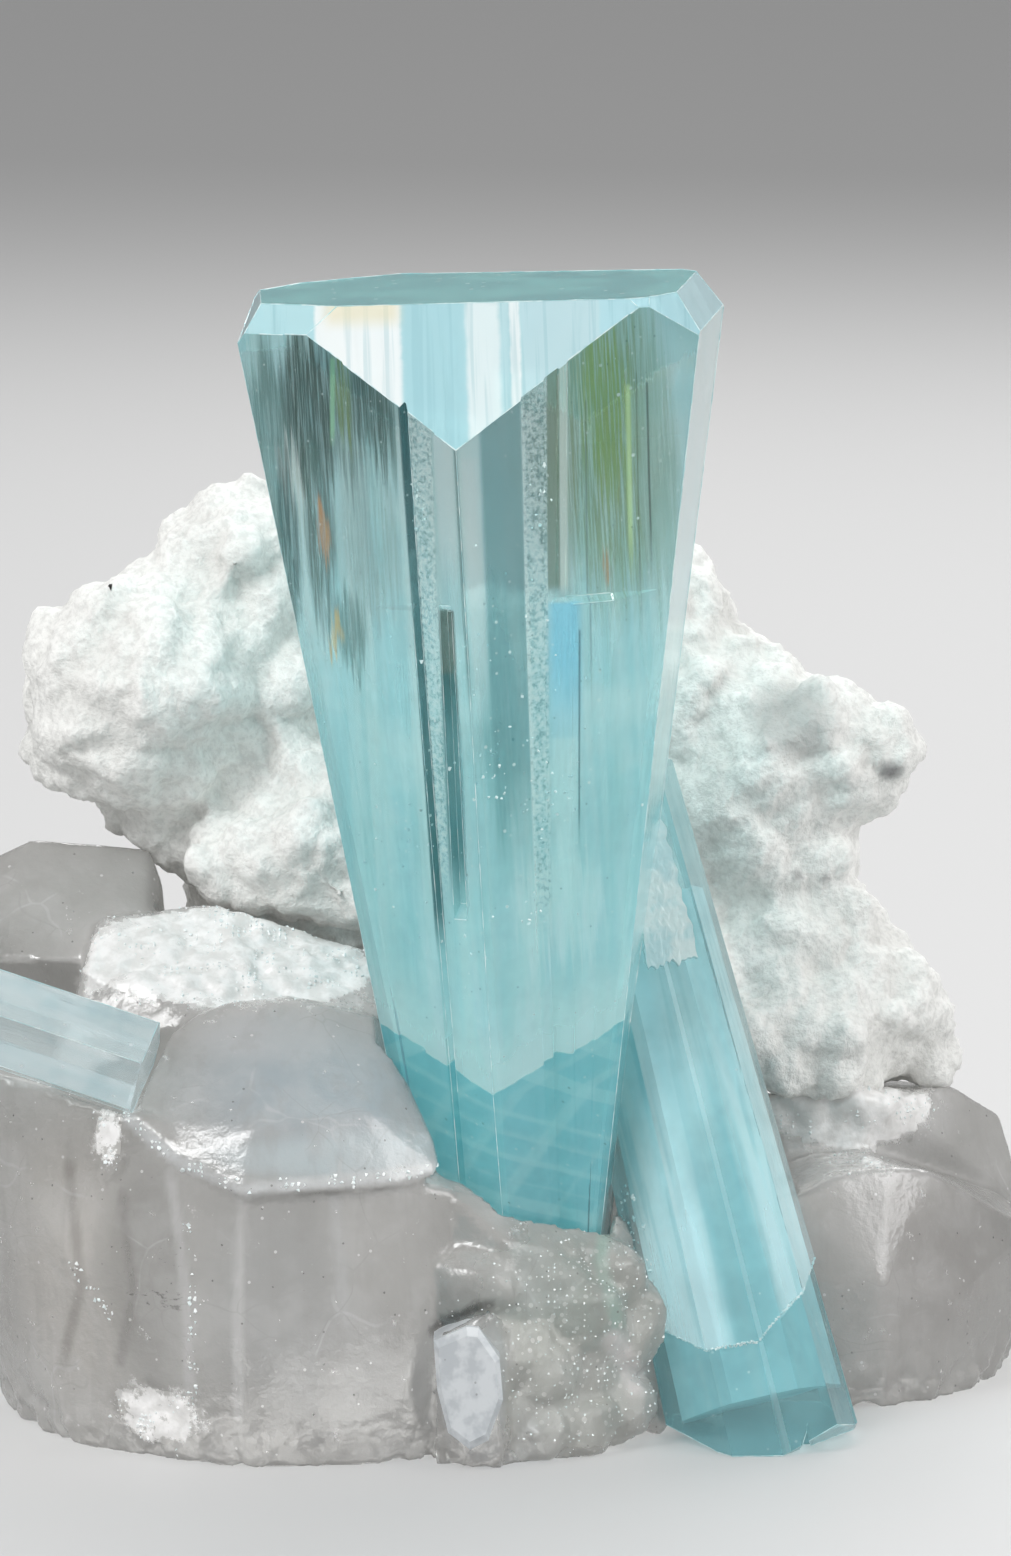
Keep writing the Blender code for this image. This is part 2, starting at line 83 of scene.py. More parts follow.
CAMERA_DISTANCE = 800.0
CAMERA_ELEVATION = 8.5
CAMERA_TARGET_HEIGHT = 54.16
MM_PER_PIXEL = 0.0835                 # at the target
FRAME_HEIGHT = 1556
SENSOR = 36.0

RIM_RADIUS = 0.06                     # worn pale edges of the crystals
ALBITE_GRAIN = 0.5                    # size of the mesh's squares
QUARTZ_GRAIN = 0.5
CLEARNESS = 0.72                      # how much light goes into the crystals' sides
BERYL_IOR = 1.57
QUARTZ_IOR = 1.54


def mm(x, y, z):
    """A point of the specimen, in metres from the origin on the ground."""
    return Vector((x - GROUND_CENTRE[0], y - GROUND_CENTRE[1], z)) * MM


def tone(red, green, blue):
    """A colour from its screen values, as the shaders need it."""
    linear = []
    for part in (red, green, blue):
        share = part / 255
        linear.append(share / 12.92 if share < 0.04045 else ((share + 0.055) / 1.055) ** 2.4)
    return (*linear, 1.0)


def crystal_axes(origin, along):
    """Origin and axes of a crystal: across to the right, to the back, along the prism."""
    up = Vector(along).normalized()
    right = Vector((0.0, 1.0, 0.0)).cross(up).normalized()
    return np.array(origin), np.array((right, up.cross(right), up))


MAIN_AXES = crystal_axes((1.71, -4.0, 0.0), (-0.0381, 0.0, 1.0))
LEAN_AXES = crystal_axes(LEAN_END, LEAN_WAY)
SMALL_AXES = crystal_axes(SMALL_TAIL, Vector(SMALL_END) - Vector(SMALL_TAIL))


def crystal_places(points, axes):
    """Points of the specimen in a crystal's own axes."""
    origin, turn = axes
    return (points - origin) @ turn.T


def from_crystal(axes, *place):
    """A place in a crystal's own axes, in metres."""
    origin, turn = axes
    return mm(*(origin + np.array(place) @ turn))


def main_radius(height):
    return MAIN_RADIUS_AT_GROUND + MAIN_FLARE * height


def seam_height(bearing):
    """Height on the leaning crystal at which its overgrowth ends, by bearing in degrees."""
    bearings, heights = zip(*LEAN_SEAM)
    return np.interp(bearing, bearings, heights, period=360.0)


# ---------------------------------------------------------------- mesh tools
def placed(name, data):
    """A new object in the scene."""
    made = bpy.data.objects.new(name, data)
    bpy.context.collection.objects.link(made)
    return made


def add_piece(name, mesh, finish=None):
    made = placed(name, mesh)
    if finish:
        mesh.materials.clear()
        mesh.materials.append(finish)
    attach(made, "root")
    return made


def to_mesh(bm, name):
    mesh = bpy.data.meshes.new(name)
    bm.to_mesh(mesh)
    bm.free()
    return mesh


def ringed(name, rings):
    """A closed form through rings of points, from its foot to its head."""
    bm = bmesh.new()
    rings = [[bm.verts.new(point) for point in ring] for ring in rings]
    for low, high in zip(rings, rings[1:]):
        for i in range(len(low)):
            j = (i + 1) % len(low)
            bm.faces.new((low[i], low[j], high[j], high[i]))
    bm.faces.new(list(reversed(rings[0])))
    bm.faces.new(rings[-1])
    bmesh.ops.recalc_face_normals(bm, faces=bm.faces[:])
    return to_mesh(bm, name)


def node_copy(name):
    """The solid of a node as a new welded mesh."""
    bm = bmesh.new()
    bm.from_mesh(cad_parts[name].data)
    bmesh.ops.remove_doubles(bm, verts=bm.verts[:], dist=1e-6)
    mesh = to_mesh(bm, name + "_dressed")
    mesh.materials.clear()
    return mesh


def settle(item):
    """Turn an object's modifiers into plain mesh."""
    graph = bpy.context.evaluated_depsgraph_get()
    mesh = bpy.data.meshes.new_from_object(item.evaluated_get(graph))
    item.modifiers.clear()
    item.data = mesh
    return item


def reskin(item, voxel):
    """Give a solid an even skin of small squares."""
    skin = item.modifiers.new("skin", "REMESH")
    skin.mode = "VOXEL"
    skin.voxel_size = voxel * MM
    settle(item)


def roughen(item, relief):
    """Push the surface in and out by procedural textures of those sizes, in millimetres."""
    for kind, size, strength, where in relief:
        grain = bpy.data.textures.new(f"{item.name}_{kind.lower()}", kind)
        grain.noise_scale = size * MM
        if kind == "CLOUDS":
            grain.noise_depth = 2
        step = item.modifiers.new(kind.lower(), "DISPLACE")
        step.texture = grain
        step.texture_coords = "LOCAL"
        step.strength = strength * MM
        step.mid_level = 0.5
        step.vertex_group = where
    settle(item)


def weigh(item, name, weights):
    """A vertex group with those weights."""
    group = item.vertex_groups.new(name=name)
    for i in np.nonzero(weights > 0.02)[0]:
        group.add([int(i)], float(weights[i]), "REPLACE")


def vectors_of(mesh, key):
    flat = np.empty(len(mesh.vertices) * 3)
    mesh.vertices.foreach_get(key, flat)
    return flat.reshape(-1, 3)


def points_of(mesh):
    """The mesh's points as rows of millimetres in the specimen's frame."""
    return vectors_of(mesh, "co") / MM + np.array((*GROUND_CENTRE, 0.0))


def store(mesh, **fields):
    """Keep numbers or vectors for each point under names that materials read."""
    for name, values in fields.items():
        kind, key = ("FLOAT", "value") if values.ndim == 1 else ("FLOAT_VECTOR", "vector")
        layer = mesh.attributes.new(name, kind, "POINT")
        layer.data.foreach_set(key, np.ascontiguousarray(values, dtype=np.float32).ravel())


def smooth_faces(mesh):
    for face in mesh.polygons:
        face.use_smooth = True


def patch(points, centre, reach):
    """1 inside an oval patch, falling smoothly to 0 at its border."""
    away = np.linalg.norm((points - np.array(centre)) / np.array(reach), axis=1)
    share = np.clip(1.6 * (1.0 - away), 0.0, 1.0)
    return share * share * (3.0 - 2.0 * share)


def stroke(points, line, width):
    """1 along a line drawn on the front, given as (x, z) corners, falling to 0 at its border."""
    nearest = np.full(len(points), 1e9)
    flat = points[:, [0, 2]]
    for start, end in zip(line, line[1:]):
        start, run = np.array(start), np.array(end) - np.array(start)
        share = np.clip((flat - start) @ run / (run @ run), 0.0, 1.0)
        nearest = np.minimum(nearest, np.linalg.norm(flat - start - share[:, None] * run, axis=1))
    return np.where(points[:, 1] < 0.0, np.clip(1.6 * (1.0 - nearest / width), 0.0, 1.0), 0.0)


def crumbs(name, spots, sizes, finish, seed):
    """Small angular crumbs at the given spots, in metres, joined in one mesh."""
    chance = random.Random(seed)
    bm = bmesh.new()
    for spot in spots:
        size = chance.uniform(*sizes) * MM
        turn = (Matrix.Rotation(chance.uniform(0, 6.28), 4, "X")
                @ Matrix.Rotation(chance.uniform(0, 6.28), 4, "Z"))
        shape = Matrix.Diagonal((1.0, chance.uniform(0.4, 1.0), chance.uniform(0.3, 0.8), 1.0))
        bmesh.ops.create_cone(bm, cap_ends=True, segments=chance.choice((3, 4, 5)),
                              radius1=size / 2, radius2=size * 0.2, depth=size,
                              matrix=Matrix.Translation(spot) @ turn @ shape)
    return add_piece(name, to_mesh(bm, name), finish)


# ---------------------------------------------------------------- shader tools
class Net:
    """A node tree with short ways to add nodes and join them."""

    def __init__(self, tree):
        self.tree = tree
        self.body = None

    def feed(self, socket, value):
        if isinstance(value, bpy.types.NodeSocket):
            self.tree.links.new(value, socket)
        else:
            socket.default_value = value

    def add(self, kind, values=(), **settings):
        made = self.tree.nodes.new(kind)
        for key, setting in settings.items():
            setattr(made, key, setting)
        for key, value in dict(values).items():
            self.feed(made.inputs[key], value)
        return made

    def stored(self, name, kind="Vector"):
        """What the mesh keeps under that name: a Vector, or a single Fac."""
        return self.add("ShaderNodeAttribute", attribute_name=name).outputs[kind]

    def math(self, operation, first, second, clamp=False):
        return self.add("ShaderNodeMath", {0: first, 1: second}, operation=operation,
                        use_clamp=clamp).outputs[0]

    def times(self, first, second):
        return self.math("MULTIPLY", first, second)

    def plus(self, first, second, clamp=False):
        return self.math("ADD", first, second, clamp)

    def minus(self, first, second):
        return self.math("SUBTRACT", first, second)

    def ramp(self, value, low, high, bottom=0.0, top=1.0):
        """Smooth step from bottom to top as the value goes from low to high."""
        return self.add("ShaderNodeMapRange", {
            "Value": value, "From Min": low, "From Max": high, "To Min": bottom, "To Max": top},
            interpolation_type="SMOOTHSTEP").outputs[0]

    def mix(self, share, base, over):
        """One colour over another; each is a socket or three screen values."""
        base, over = (tone(*it) if isinstance(it, tuple) else it for it in (base, over))
        return self.add("ShaderNodeMix", {0: share, 6: base, 7: over}, data_type="RGBA").outputs[2]

    def coat(self, share, colour, amount=None):
        """Lay one more colour over the body."""
        if amount is not None:
            share = self.times(share, amount)
        self.body = self.mix(share, self.body, colour)

    def paint(self, shader):
        self.feed(shader.inputs["Base Color"], self.body)

    def noise(self, place, scale, detail=3.0, roughness=0.55):
        return self.add("ShaderNodeTexNoise", {
            "Vector": place, "Scale": scale, "Detail": detail,
            "Roughness": roughness}).outputs["Fac"]

    def streaks(self, place, factors, detail, roughness):
        """Noise that is stretched along the directions with small factors."""
        stretched = self.add("ShaderNodeVectorMath", {0: place, 1: factors}, operation="MULTIPLY")
        return self.noise(stretched.outputs[0], 1.0, detail, roughness)

    def split(self, place):
        return tuple(self.add("ShaderNodeSeparateXYZ", {0: place}).outputs)

    def group(self, shared, **values):
        made = self.add("ShaderNodeGroup", node_tree=shared)
        for key, value in values.items():
            self.feed(made.inputs[key.replace("_", " ")], value)
        return made.outputs

    def flecks(self, place, scale, size, amount):
        return self.group(FLECKS, Place=place, Scale=scale, Size=size, Amount=amount)["Mask"]

    def oval(self, place, across, height, wide, tall):
        return self.group(PATCH, Place=place, Across=across, Height=height, Half_width=wide,
                          Half_height=tall)["Mask"]

    def strip(self, place, left, right, bottom, top, soft, fade):
        return self.group(STRIP, Place=place, Left_low=left[0], Left_high=left[1],
                          Right_low=right[0], Right_high=right[1], Bottom=bottom, Top=top,
                          Soft=soft, Fade=fade)["Mask"]

    def bump(self, shader, height, depth, strength):
        relief = self.add("ShaderNodeBump", {"Height": height, "Distance": depth * MM,
                                             "Strength": strength})
        self.feed(shader.inputs["Normal"], relief.outputs[0])


def new_group(name, inputs, outputs):
    """An empty node group's net, inputs and outputs; only Place is a vector."""
    tree = bpy.data.node_groups.new(name, "ShaderNodeTree")
    for way, labels in (("INPUT", ("Place", *inputs)), ("OUTPUT", outputs)):
        for label in labels:
            kind = "NodeSocketVector" if label == "Place" else "NodeSocketFloat"
            tree.interface.new_socket(label, in_out=way, socket_type=kind)
    net = Net(tree)
    return net, net.add("NodeGroupInput").outputs, net.add("NodeGroupOutput").inputs


def new_material(name):
    made = bpy.data.materials.new(name)
    made.use_nodes = True
    net = Net(made.node_tree)
    return made, net, made.node_tree.nodes["Principled BSDF"]


def strip_group():
    """Mask of a lengthwise strip of a face, between two edges that spread with height."""
    net, given, made = new_group("growth strip", (
        "Left low", "Left high", "Right low", "Right high", "Bottom", "Top", "Soft", "Fade"),
        ("Mask",))
    across, _, height = net.split(given["Place"])
    share = net.ramp(height, STRIP_LOW, STRIP_HIGH)
    share.node.interpolation_type = "LINEAR"
    share.node.clamp = False
    left, right = (net.add("ShaderNodeMix", {
        0: share, 2: given[side + " low"], 3: given[side + " high"]},
        data_type="FLOAT", clamp_factor=False).outputs[0] for side in ("Left", "Right"))
    past_left, past_right = (net.ramp(past, net.times(given["Soft"], -1.0), given["Soft"])
                             for past in (net.minus(across, left), net.minus(right, across)))
    above = net.ramp(net.minus(height, given["Bottom"]), 0.0, given["Fade"])
    below = net.ramp(net.minus(given["Top"], height), 0.0, 0.4)
    net.feed(made["Mask"], net.times(net.times(past_left, past_right), net.times(above, below)))
    return net.tree


def oval_group():
    """Soft oval patch on a face, in millimetres across and along."""
    net, given, made = new_group(
        "face patch", ("Across", "Height", "Half width", "Half height"), ("Mask",))
    across, _, height = net.split(given["Place"])
    sideways = net.math("DIVIDE", net.minus(across, given["Across"]), given["Half width"])
    upwards = net.math("DIVIDE", net.minus(height, given["Height"]), given["Half height"])
    away = net.plus(net.times(sideways, sideways), net.times(upwards, upwards))
    net.feed(made["Mask"], net.ramp(away, 1.0, 0.25))
    return net.tree


def striation_group():
    """Fine lengthwise growth lines: a shade from 0 to 1 and a height for the bump."""
    net, given, made = new_group(
        "striations", ("Spacing", "Length"), ("Shade", "Height", "Fine"))
    across, deep, height = net.split(given["Place"])
    wide = net.math("DIVIDE", across, given["Spacing"])
    long = net.math("DIVIDE", height, given["Length"])
    place = net.add("ShaderNodeCombineXYZ", {0: wide, 1: deep, 2: long}).outputs[0]
    broad = net.noise(place, 1.0, 2.0, 0.5)
    fine = net.noise(place, 5.0, 2.0, 0.6)
    net.feed(made["Shade"], net.ramp(broad, 0.36, 0.64))
    net.feed(made["Fine"], net.ramp(fine, 0.3, 0.7))
    net.feed(made["Height"], net.plus(broad, net.times(fine, 0.35)))
    return net.tree


def ragged_group():
    """A place pushed about by noise, so that a patch gets a ragged, streaky border."""
    net, given, made = new_group("ragged place", ("Across", "Along"), ("Place",))
    broad = net.streaks(given["Place"], (0.5, 0.5, 0.1), 3.0, 0.6)
    thin = net.streaks(given["Place"], (2.2, 1.0, 0.04), 2.0, 0.6)
    sideways = net.times(net.minus(broad, 0.5), given["Across"])
    upwards = net.times(net.minus(thin, 0.5), net.times(given["Along"], 3.0))
    push = net.add("ShaderNodeCombineXYZ", {0: sideways, 2: upwards}).outputs[0]
    moved = net.add("ShaderNodeVectorMath", {0: given["Place"], 1: push}, operation="ADD")
    net.feed(made["Place"], moved.outputs[0])
    return net.tree


def fleck_group():
    """Scattered small specks: 1 on a speck, 0 elsewhere."""
    net, given, made = new_group("flecks", ("Scale", "Size", "Amount"), ("Mask",))
    cells = net.add("ShaderNodeTexVoronoi", {"Vector": given["Place"], "Scale": given["Scale"]})
    here = net.math("LESS_THAN", cells.outputs["Distance"], given["Size"])
    chance = net.add("ShaderNodeSeparateColor", {0: cells.outputs["Color"]}).outputs[0]
    kept = net.math("LESS_THAN", chance, given["Amount"])
    net.feed(made["Mask"], net.times(here, kept))
    return net.tree


STRIP_LOW = 46.0      # heights at which a strip's edges are given
STRIP_HIGH = 86.0
STRIP = strip_group()
PATCH = oval_group()
STRIATIONS = striation_group()
FLECKS = fleck_group()
RAGGED = ragged_group()


def clear_beryl(net, shader, transmission, roughness):
    """The body colour and the plain values that every aquamarine face shares."""
    net.paint(shader)
    shader.inputs["Transmission Weight"].default_value = transmission
    shader.inputs["Roughness"].default_value = roughness
    shader.inputs["IOR"].default_value = BERYL_IOR
    shader.inputs["Metallic"].default_value = 0.0
    pass_light(net, shader, (0.8, 0.81, 0.805, 1.0))


def pass_light(net, shader, tint):
    """Let lamps shine through a clear surface instead of giving it a black shadow."""
    ray = net.add("ShaderNodeLightPath").outputs["Is Shadow Ray"]
    clear = net.add("ShaderNodeBsdfTransparent", {"Color": tint})
    both = net.add("ShaderNodeMixShader", {0: ray, 1: shader.outputs[0], 2: clear.outputs[0]})
    net.feed(net.tree.nodes["Material Output"].inputs["Surface"], both.outputs[0])


# ---------------------------------------------------------------- finishes of the beryl
SIDE_STRIPS = (
    # left low/high, right low/high, bottom, top, softness, fade, colour, amount
    ((-5.3, -5.75), (-4.3, -4.85), 41.0, 93.0, 0.1, 5.0, (30, 78, 84), 0.9),  # groove
    ((-5.65, -6.15), (-5.35, -5.8), 44.0, 92.0, 0.12, 5.0, (214, 236, 236), 0.5),  # its pale lip
    ((-3.6, -2.5), (-1.65, -1.1), 60.0, 71.4, 0.12, 5.0, (64, 62, 44), 0.85),  # brown channel
    ((0.1, 0.2), (1.2, 1.9), 60.0, 93.0, 0.25, 8.0, (214, 232, 232), 0.6),  # pale band
    ((1.3, 2.0), (4.4, 5.7), 46.0, 93.0, 0.3, 14.0, (78, 136, 142), 0.72),  # teal band
    ((11.5, 11.5), (18.6, 18.6), 70.75, 71.05, 0.1, 0.2, (214, 236, 234), 0.5),  # edge of the ledge
    ((-3.6, -2.5), (-1.65, -1.1), 45.0, 66.0, 0.15, 6.0, (40, 96, 102), 0.7),  # channel below
    ((-2.3, -2.4), (-0.6, -0.5), 72.0, 86.0, 0.3, 6.0, (224, 236, 238), 0.6),  # pale clear strip
    ((-0.35, -0.4), (-0.05, -0.1), 60.0, 86.0, 0.1, 8.0, (66, 104, 106), 0.7),  # by the edge
    ((0.2, 0.2), (1.3, 1.6), 68.0, 84.0, 0.4, 8.0, (226, 236, 236), 0.7),
    ((4.4, 5.7), (4.8, 6.05), 40.0, 88.0, 0.12, 5.0, (236, 248, 248), 0.7),  # painted highlight along the ridge edge
    ((6.1, 8.05), (7.2, 9.05), 71.8, 93.0, 0.1, 1.0, (96, 112, 80), 0.75),  # olive strip
    ((7.0, 9.1), (7.8, 9.85), 71.8, 93.0, 0.1, 1.0, (226, 236, 224), 0.8),  # thin pale strip
    ((6.1, 8.2), (8.6, 10.6), 56.0, 71.4, 0.5, 12.0, (120, 204, 236), 0.9),  # blue under the ledge: painted light on a lit face
    ((6.1, 8.6), (8.1, 10.6), 40.0, 60.0, 0.3, 6.0, (206, 236, 238), 0.6),  # pale band
    ((8.2, 10.7), (8.35, 10.9), 50.0, 69.0, 0.06, 4.0, (26, 70, 84), 0.8),  # dark thin line
    ((9.6, 11.4), (9.7, 11.55), 60.0, 88.0, 0.06, 8.0, (60, 74, 66), 0.6),
    ((13.6, 15.0), (13.95, 15.4), 71.8, 89.0, 0.15, 6.0, (206, 232, 150), 0.85),  # green line
    ((14.4, 15.9), (14.5, 16.0), 66.0, 90.0, 0.05, 8.0, (60, 76, 60), 0.7),
    ((15.6, 16.8), (15.75, 17.0), 71.8, 89.0, 0.06, 6.0, (30, 46, 40), 0.8),  # dark fine lines
    ((-16.2, -12.95), (-15.9, -12.5), 84.0, 92.0, 0.12, 2.0, (140, 200, 150), 0.85),
)
SIDE_PATCHES_AND_REFLECTIONS = (
    # across, height, half width, half height, colour, amount
    # painted reflections high on the left face: the dark patches and the pale zone
    (-12.5, 87.0, 10.5, 7.5, (70, 104, 98), 0.85),
    (-19.0, 84.0, 2.8, 12.0, (84, 122, 118), 0.85),
    (-15.0, 88.0, 3.2, 8.5, (30, 56, 50), 0.97),
    (-11.4, 88.5, 1.4, 5.0, (92, 116, 52), 0.9),
    (-8.4, 88.0, 2.6, 5.5, (44, 74, 70), 0.95),
    (-17.3, 82.0, 1.6, 3.0, (222, 228, 224), 0.6),
    (-9.4, 76.5, 3.8, 7.4, (146, 176, 176), 0.9),
    (-14.8, 76.5, 2.0, 9.5, (50, 78, 72), 0.92),
    (-18.0, 76.0, 1.2, 10.0, (30, 68, 68), 0.9),
    (-12.2, 68.6, 2.2, 4.4, (70, 108, 104), 0.85),
    # painted orange glints
    (-14.4, 77.0, 0.8, 2.4, (196, 116, 50), 0.8),
    (-13.8, 68.3, 1.0, 1.7, (226, 178, 90), 0.75),
    (7.0, 84.0, 1.4, 11.0, (86, 112, 98), 0.6),
    (13.6, 84.0, 6.6, 16.5, (116, 142, 98), 0.9),
    (13.4, 86.5, 2.6, 8.5, (120, 150, 60), 0.85),
    (17.6, 80.0, 2.2, 13.0, (150, 182, 172), 0.75),
    # painted brown glint
    (12.5, 73.8, 0.5, 1.6, (176, 110, 60), 0.75),
    (-2.6, 58.0, 1.6, 11.0, (86, 152, 158), 0.7),
    (2.2, 62.0, 2.2, 13.0, (104, 168, 172), 0.7),
    (6.6, 45.5, 5.0, 6.0, (240, 253, 255), 0.55),
)


ROOF_HEIGHT = 41.46       # plane of the growth front: its height on the axis and its slopes
ROOF_SIDEWAYS = 0.114
ROOF_BACK = 1.045


def main_side_finish():
    """Prism faces of the main crystal: milky blue-green below, clearer and streaked above, with
    painted reflections, glints and a painted lit face under the ledge.
    """
    made, net, shader = new_material("aquamarine_sides")
    place = net.stored("growth")
    inner = net.stored("place")
    height = net.split(place)[2]
    lines = net.group(STRIATIONS, Place=place, Spacing=0.9, Length=34.0)
    broad = net.group(STRIATIONS, Place=place, Spacing=3.2, Length=60.0)
    cloud = net.noise(inner, 0.09, 3.0, 0.55)
    ragged = net.group(RAGGED, Place=place, Across=1.5, Along=5.0)["Place"]

    upper = net.mix(net.ramp(height, 62.0, 84.0), (160, 208, 212), (184, 214, 212))
    net.body = net.mix(net.ramp(height, 34.0, 56.0), (204, 242, 248), upper)
    net.coat(lines["Shade"], (224, 242, 242), 0.35)
    net.coat(broad["Shade"], (146, 210, 222), 0.4)
    net.coat(net.ramp(cloud, 0.5, 0.68, 0.0, 0.4), (218, 240, 240))

    # colour patches and painted reflections and glints, streaked by the growth lines
    for across_at, height_at, wide, tall, colour, amount in SIDE_PATCHES_AND_REFLECTIONS:
        oval = net.oval(ragged, across_at, height_at, wide, tall)
        streaked = net.times(oval, net.ramp(lines["Fine"], 0.1, 0.7, 0.5 * amount, amount))
        net.coat(streaked, colour)
    for left, right, bottom, top, soft, fade, colour, amount in SIDE_STRIPS:
        mask = net.strip(place, left, right, bottom, top, soft, fade)
        net.coat(mask, colour, amount)

    # growth zone: a pale roof-shaped front with the deeper old crystal beneath it
    sideways, back, up = net.split(inner)
    front = net.plus(net.times(sideways, ROOF_SIDEWAYS), net.times(back, ROOF_BACK))
    above = net.minus(net.minus(up, ROOF_HEIGHT), front)
    wavy = net.plus(above, net.times(net.noise(inner, 1.1, 3.0), 0.5))
    net.coat(net.ramp(wavy, 9.0, 0.4, 0.0, 0.9), (228, 250, 252))
    falling = net.plus(net.times(sideways, 0.5), up)
    rising = net.minus(up, net.times(sideways, 0.5))
    old = (128, 204, 216)
    for slope, size in ((falling, 0.42), (rising, 0.36)):
        bands = net.add("ShaderNodeTexNoise", {"W": net.times(slope, size),
                                               "Scale": 1.0, "Detail": 2.0},
                        noise_dimensions="1D").outputs[0]
        old = net.mix(net.ramp(bands, 0.5, 0.6, 0.0, 0.5), old, (178, 230, 236))
    net.coat(net.ramp(wavy, 0.35, 0.15), old)

    speck = net.flecks(inner, 0.85, 0.13, 0.22)
    zone = net.oval(place, 2.0, 57.0, 13.0, 21.0)
    upper = net.oval(place, 13.0, 80.0, 7.0, 13.0)
    dots = net.times(speck, net.plus(zone, upper, clamp=True))
    net.coat(dots, (244, 250, 248), 0.8)

    ridge = net.strip(place, (4.5, 5.8), (6.1, 8.05), 42.0, 93.0, 0.1, 6.0)
    lip = net.strip(place, (-4.4, -5.0), (-3.6, -2.6), 45.0, 93.0, 0.1, 6.0)
    etched = net.plus(ridge, lip, clamp=True)
    mottle = net.noise(inner, 2.6, 3.0, 0.7)
    net.coat(net.times(etched, net.ramp(mottle, 0.42, 0.62, 0.0, 0.75)), (232, 244, 242))
    net.coat(net.times(etched, net.ramp(mottle, 0.5, 0.34, 0.0, 0.6)), (64, 108, 110))
    net.coat(net.flecks(inner, 1.5, 0.16, 0.2), (240, 248, 246), 0.45)
    net.coat(net.flecks(inner, 1.3, 0.12, 0.1), (40, 70, 70), 0.6)
    relief = net.plus(net.times(lines["Height"], 0.5), net.times(net.times(etched, mottle), 1.6))
    clear_beryl(net, shader, CLEARNESS, 0.07)
    net.bump(shader, relief, 0.12, 0.5)
    return made


TOP_BANDS_AND_REFLECTION = (
    # from, to, softness, colour, amount, for the faces of the head, from left to right
    (-30.0, -13.6, 0.3, (186, 226, 234), 0.8),
    # painted reflection of a lamp: the pure white band
    (-13.6, -6.6, 0.2, (255, 255, 255), 1.0),
    (-6.6, -1.4, 0.4, (172, 217, 226), 0.85),
    (-1.3, 1.3, 0.25, (248, 252, 252), 0.75),
    (2.2, 3.0, 0.15, (252, 254, 254), 0.9),
    (3.2, 9.3, 0.3, (198, 226, 233), 0.85),
    (9.5, 30.0, 0.15, (184, 226, 236), 0.85),
)


def main_top_finish():
    """Sloping faces of the main crystal's head: smooth, with bands seen through them and a painted
    white reflection of a lamp.
    """
    made, net, shader = new_material("aquamarine_head")
    inner = net.stored("place")
    across, _, height = net.split(inner)
    wave = net.streaks(inner, (0.3, 0.2, 0.5), 3.0, 0.7)
    bent = net.plus(across, net.times(net.minus(wave, 0.5), 0.5))
    streaks = net.streaks(inner, (1.6, 0.05, 0.04), 2.0, 0.6)
    net.body = (196, 228, 234)
    # bands seen through the head, among them the painted reflection
    for start, end, soft, colour, amount in TOP_BANDS_AND_REFLECTION:
        inside = net.times(net.ramp(bent, start - soft, start + soft),
                           net.ramp(bent, end + soft, end - soft))
        net.coat(inside, colour, amount)
    net.coat(net.ramp(streaks, 0.54, 0.66, 0.0, 0.35), (150, 196, 206))
    # warm yellowish tint at the top of the head, over the white band
    warm_tint = net.times(net.ramp(height, 93.6, 95.2),
                      net.times(net.ramp(across, -13.5, -12.0), net.ramp(across, -6.0, -7.5)))
    net.coat(warm_tint, (246, 226, 176), 0.6)
    clear_beryl(net, shader, 0.4, 0.05)
    return made


def main_basal_finish():
    """Flat top of the main crystal: deeper blue-green, a little dull."""
    made, net, shader = new_material("aquamarine_basal")
    inner = net.stored("place")
    patchy = net.noise(inner, 0.16, 3.0, 0.6)
    net.body = net.mix(net.ramp(patchy, 0.4, 0.62), (30, 134, 138), (64, 158, 158))
    net.coat(net.flecks(inner, 0.8, 0.16, 0.3), (230, 240, 236), 0.5)
    clear_beryl(net, shader, 0.35, 0.2)
    shader.inputs["IOR"].default_value = 1.25
    return made


def lean_finish(name, roughness):
    """Leaning crystal: pale stripes along it, a left facet painted pale, partly as painted light,
    and a darker old core under the overgrowth.
    """
    made, net, shader = new_material(name)
    place = net.stored("place")
    across, _, height = net.split(place)
    lines = net.group(STRIATIONS, Place=place, Spacing=1.5, Length=40.0)
    cloud = net.noise(place, 0.14, 3.0, 0.55)
    # the left facet is pale: partly its own milky colour, partly painted light on a face that turns
    # from the lamps
    net.body = net.mix(net.ramp(across, -4.4, -3.4), (234, 242, 238), (196, 232, 236))
    net.coat(lines["Shade"], (228, 246, 246), 0.6)
    net.coat(net.ramp(cloud, 0.48, 0.68, 0.0, 0.5), (206, 232, 230))
    net.coat(net.ramp(across, 5.6, 6.4, 0.0, 0.6), (232, 244, 242))
    net.coat(net.ramp(height, 26.0, 14.0, 0.0, 0.85), (232, 248, 250))
    net.coat(net.ramp(height, 24.0, 44.0, 0.0, 0.45), (168, 218, 224))
    streak = net.streaks(place, (0.9, 0.5, 0.03), 2.0, 0.6)
    net.coat(net.ramp(streak, 0.53, 0.6, 0.0, 0.4), (150, 200, 206))
    seam = net.stored("under_seam", "Fac")
    net.coat(net.ramp(seam, 0.3, 0.7, 0.0, 0.95), (138, 188, 193))
    net.coat(net.flecks(place, 0.8, 0.1, 0.14), (240, 248, 248), 0.7)
    clear_beryl(net, shader, CLEARNESS, roughness)
    net.bump(shader, lines["Height"], 0.1, 0.45)
    return made


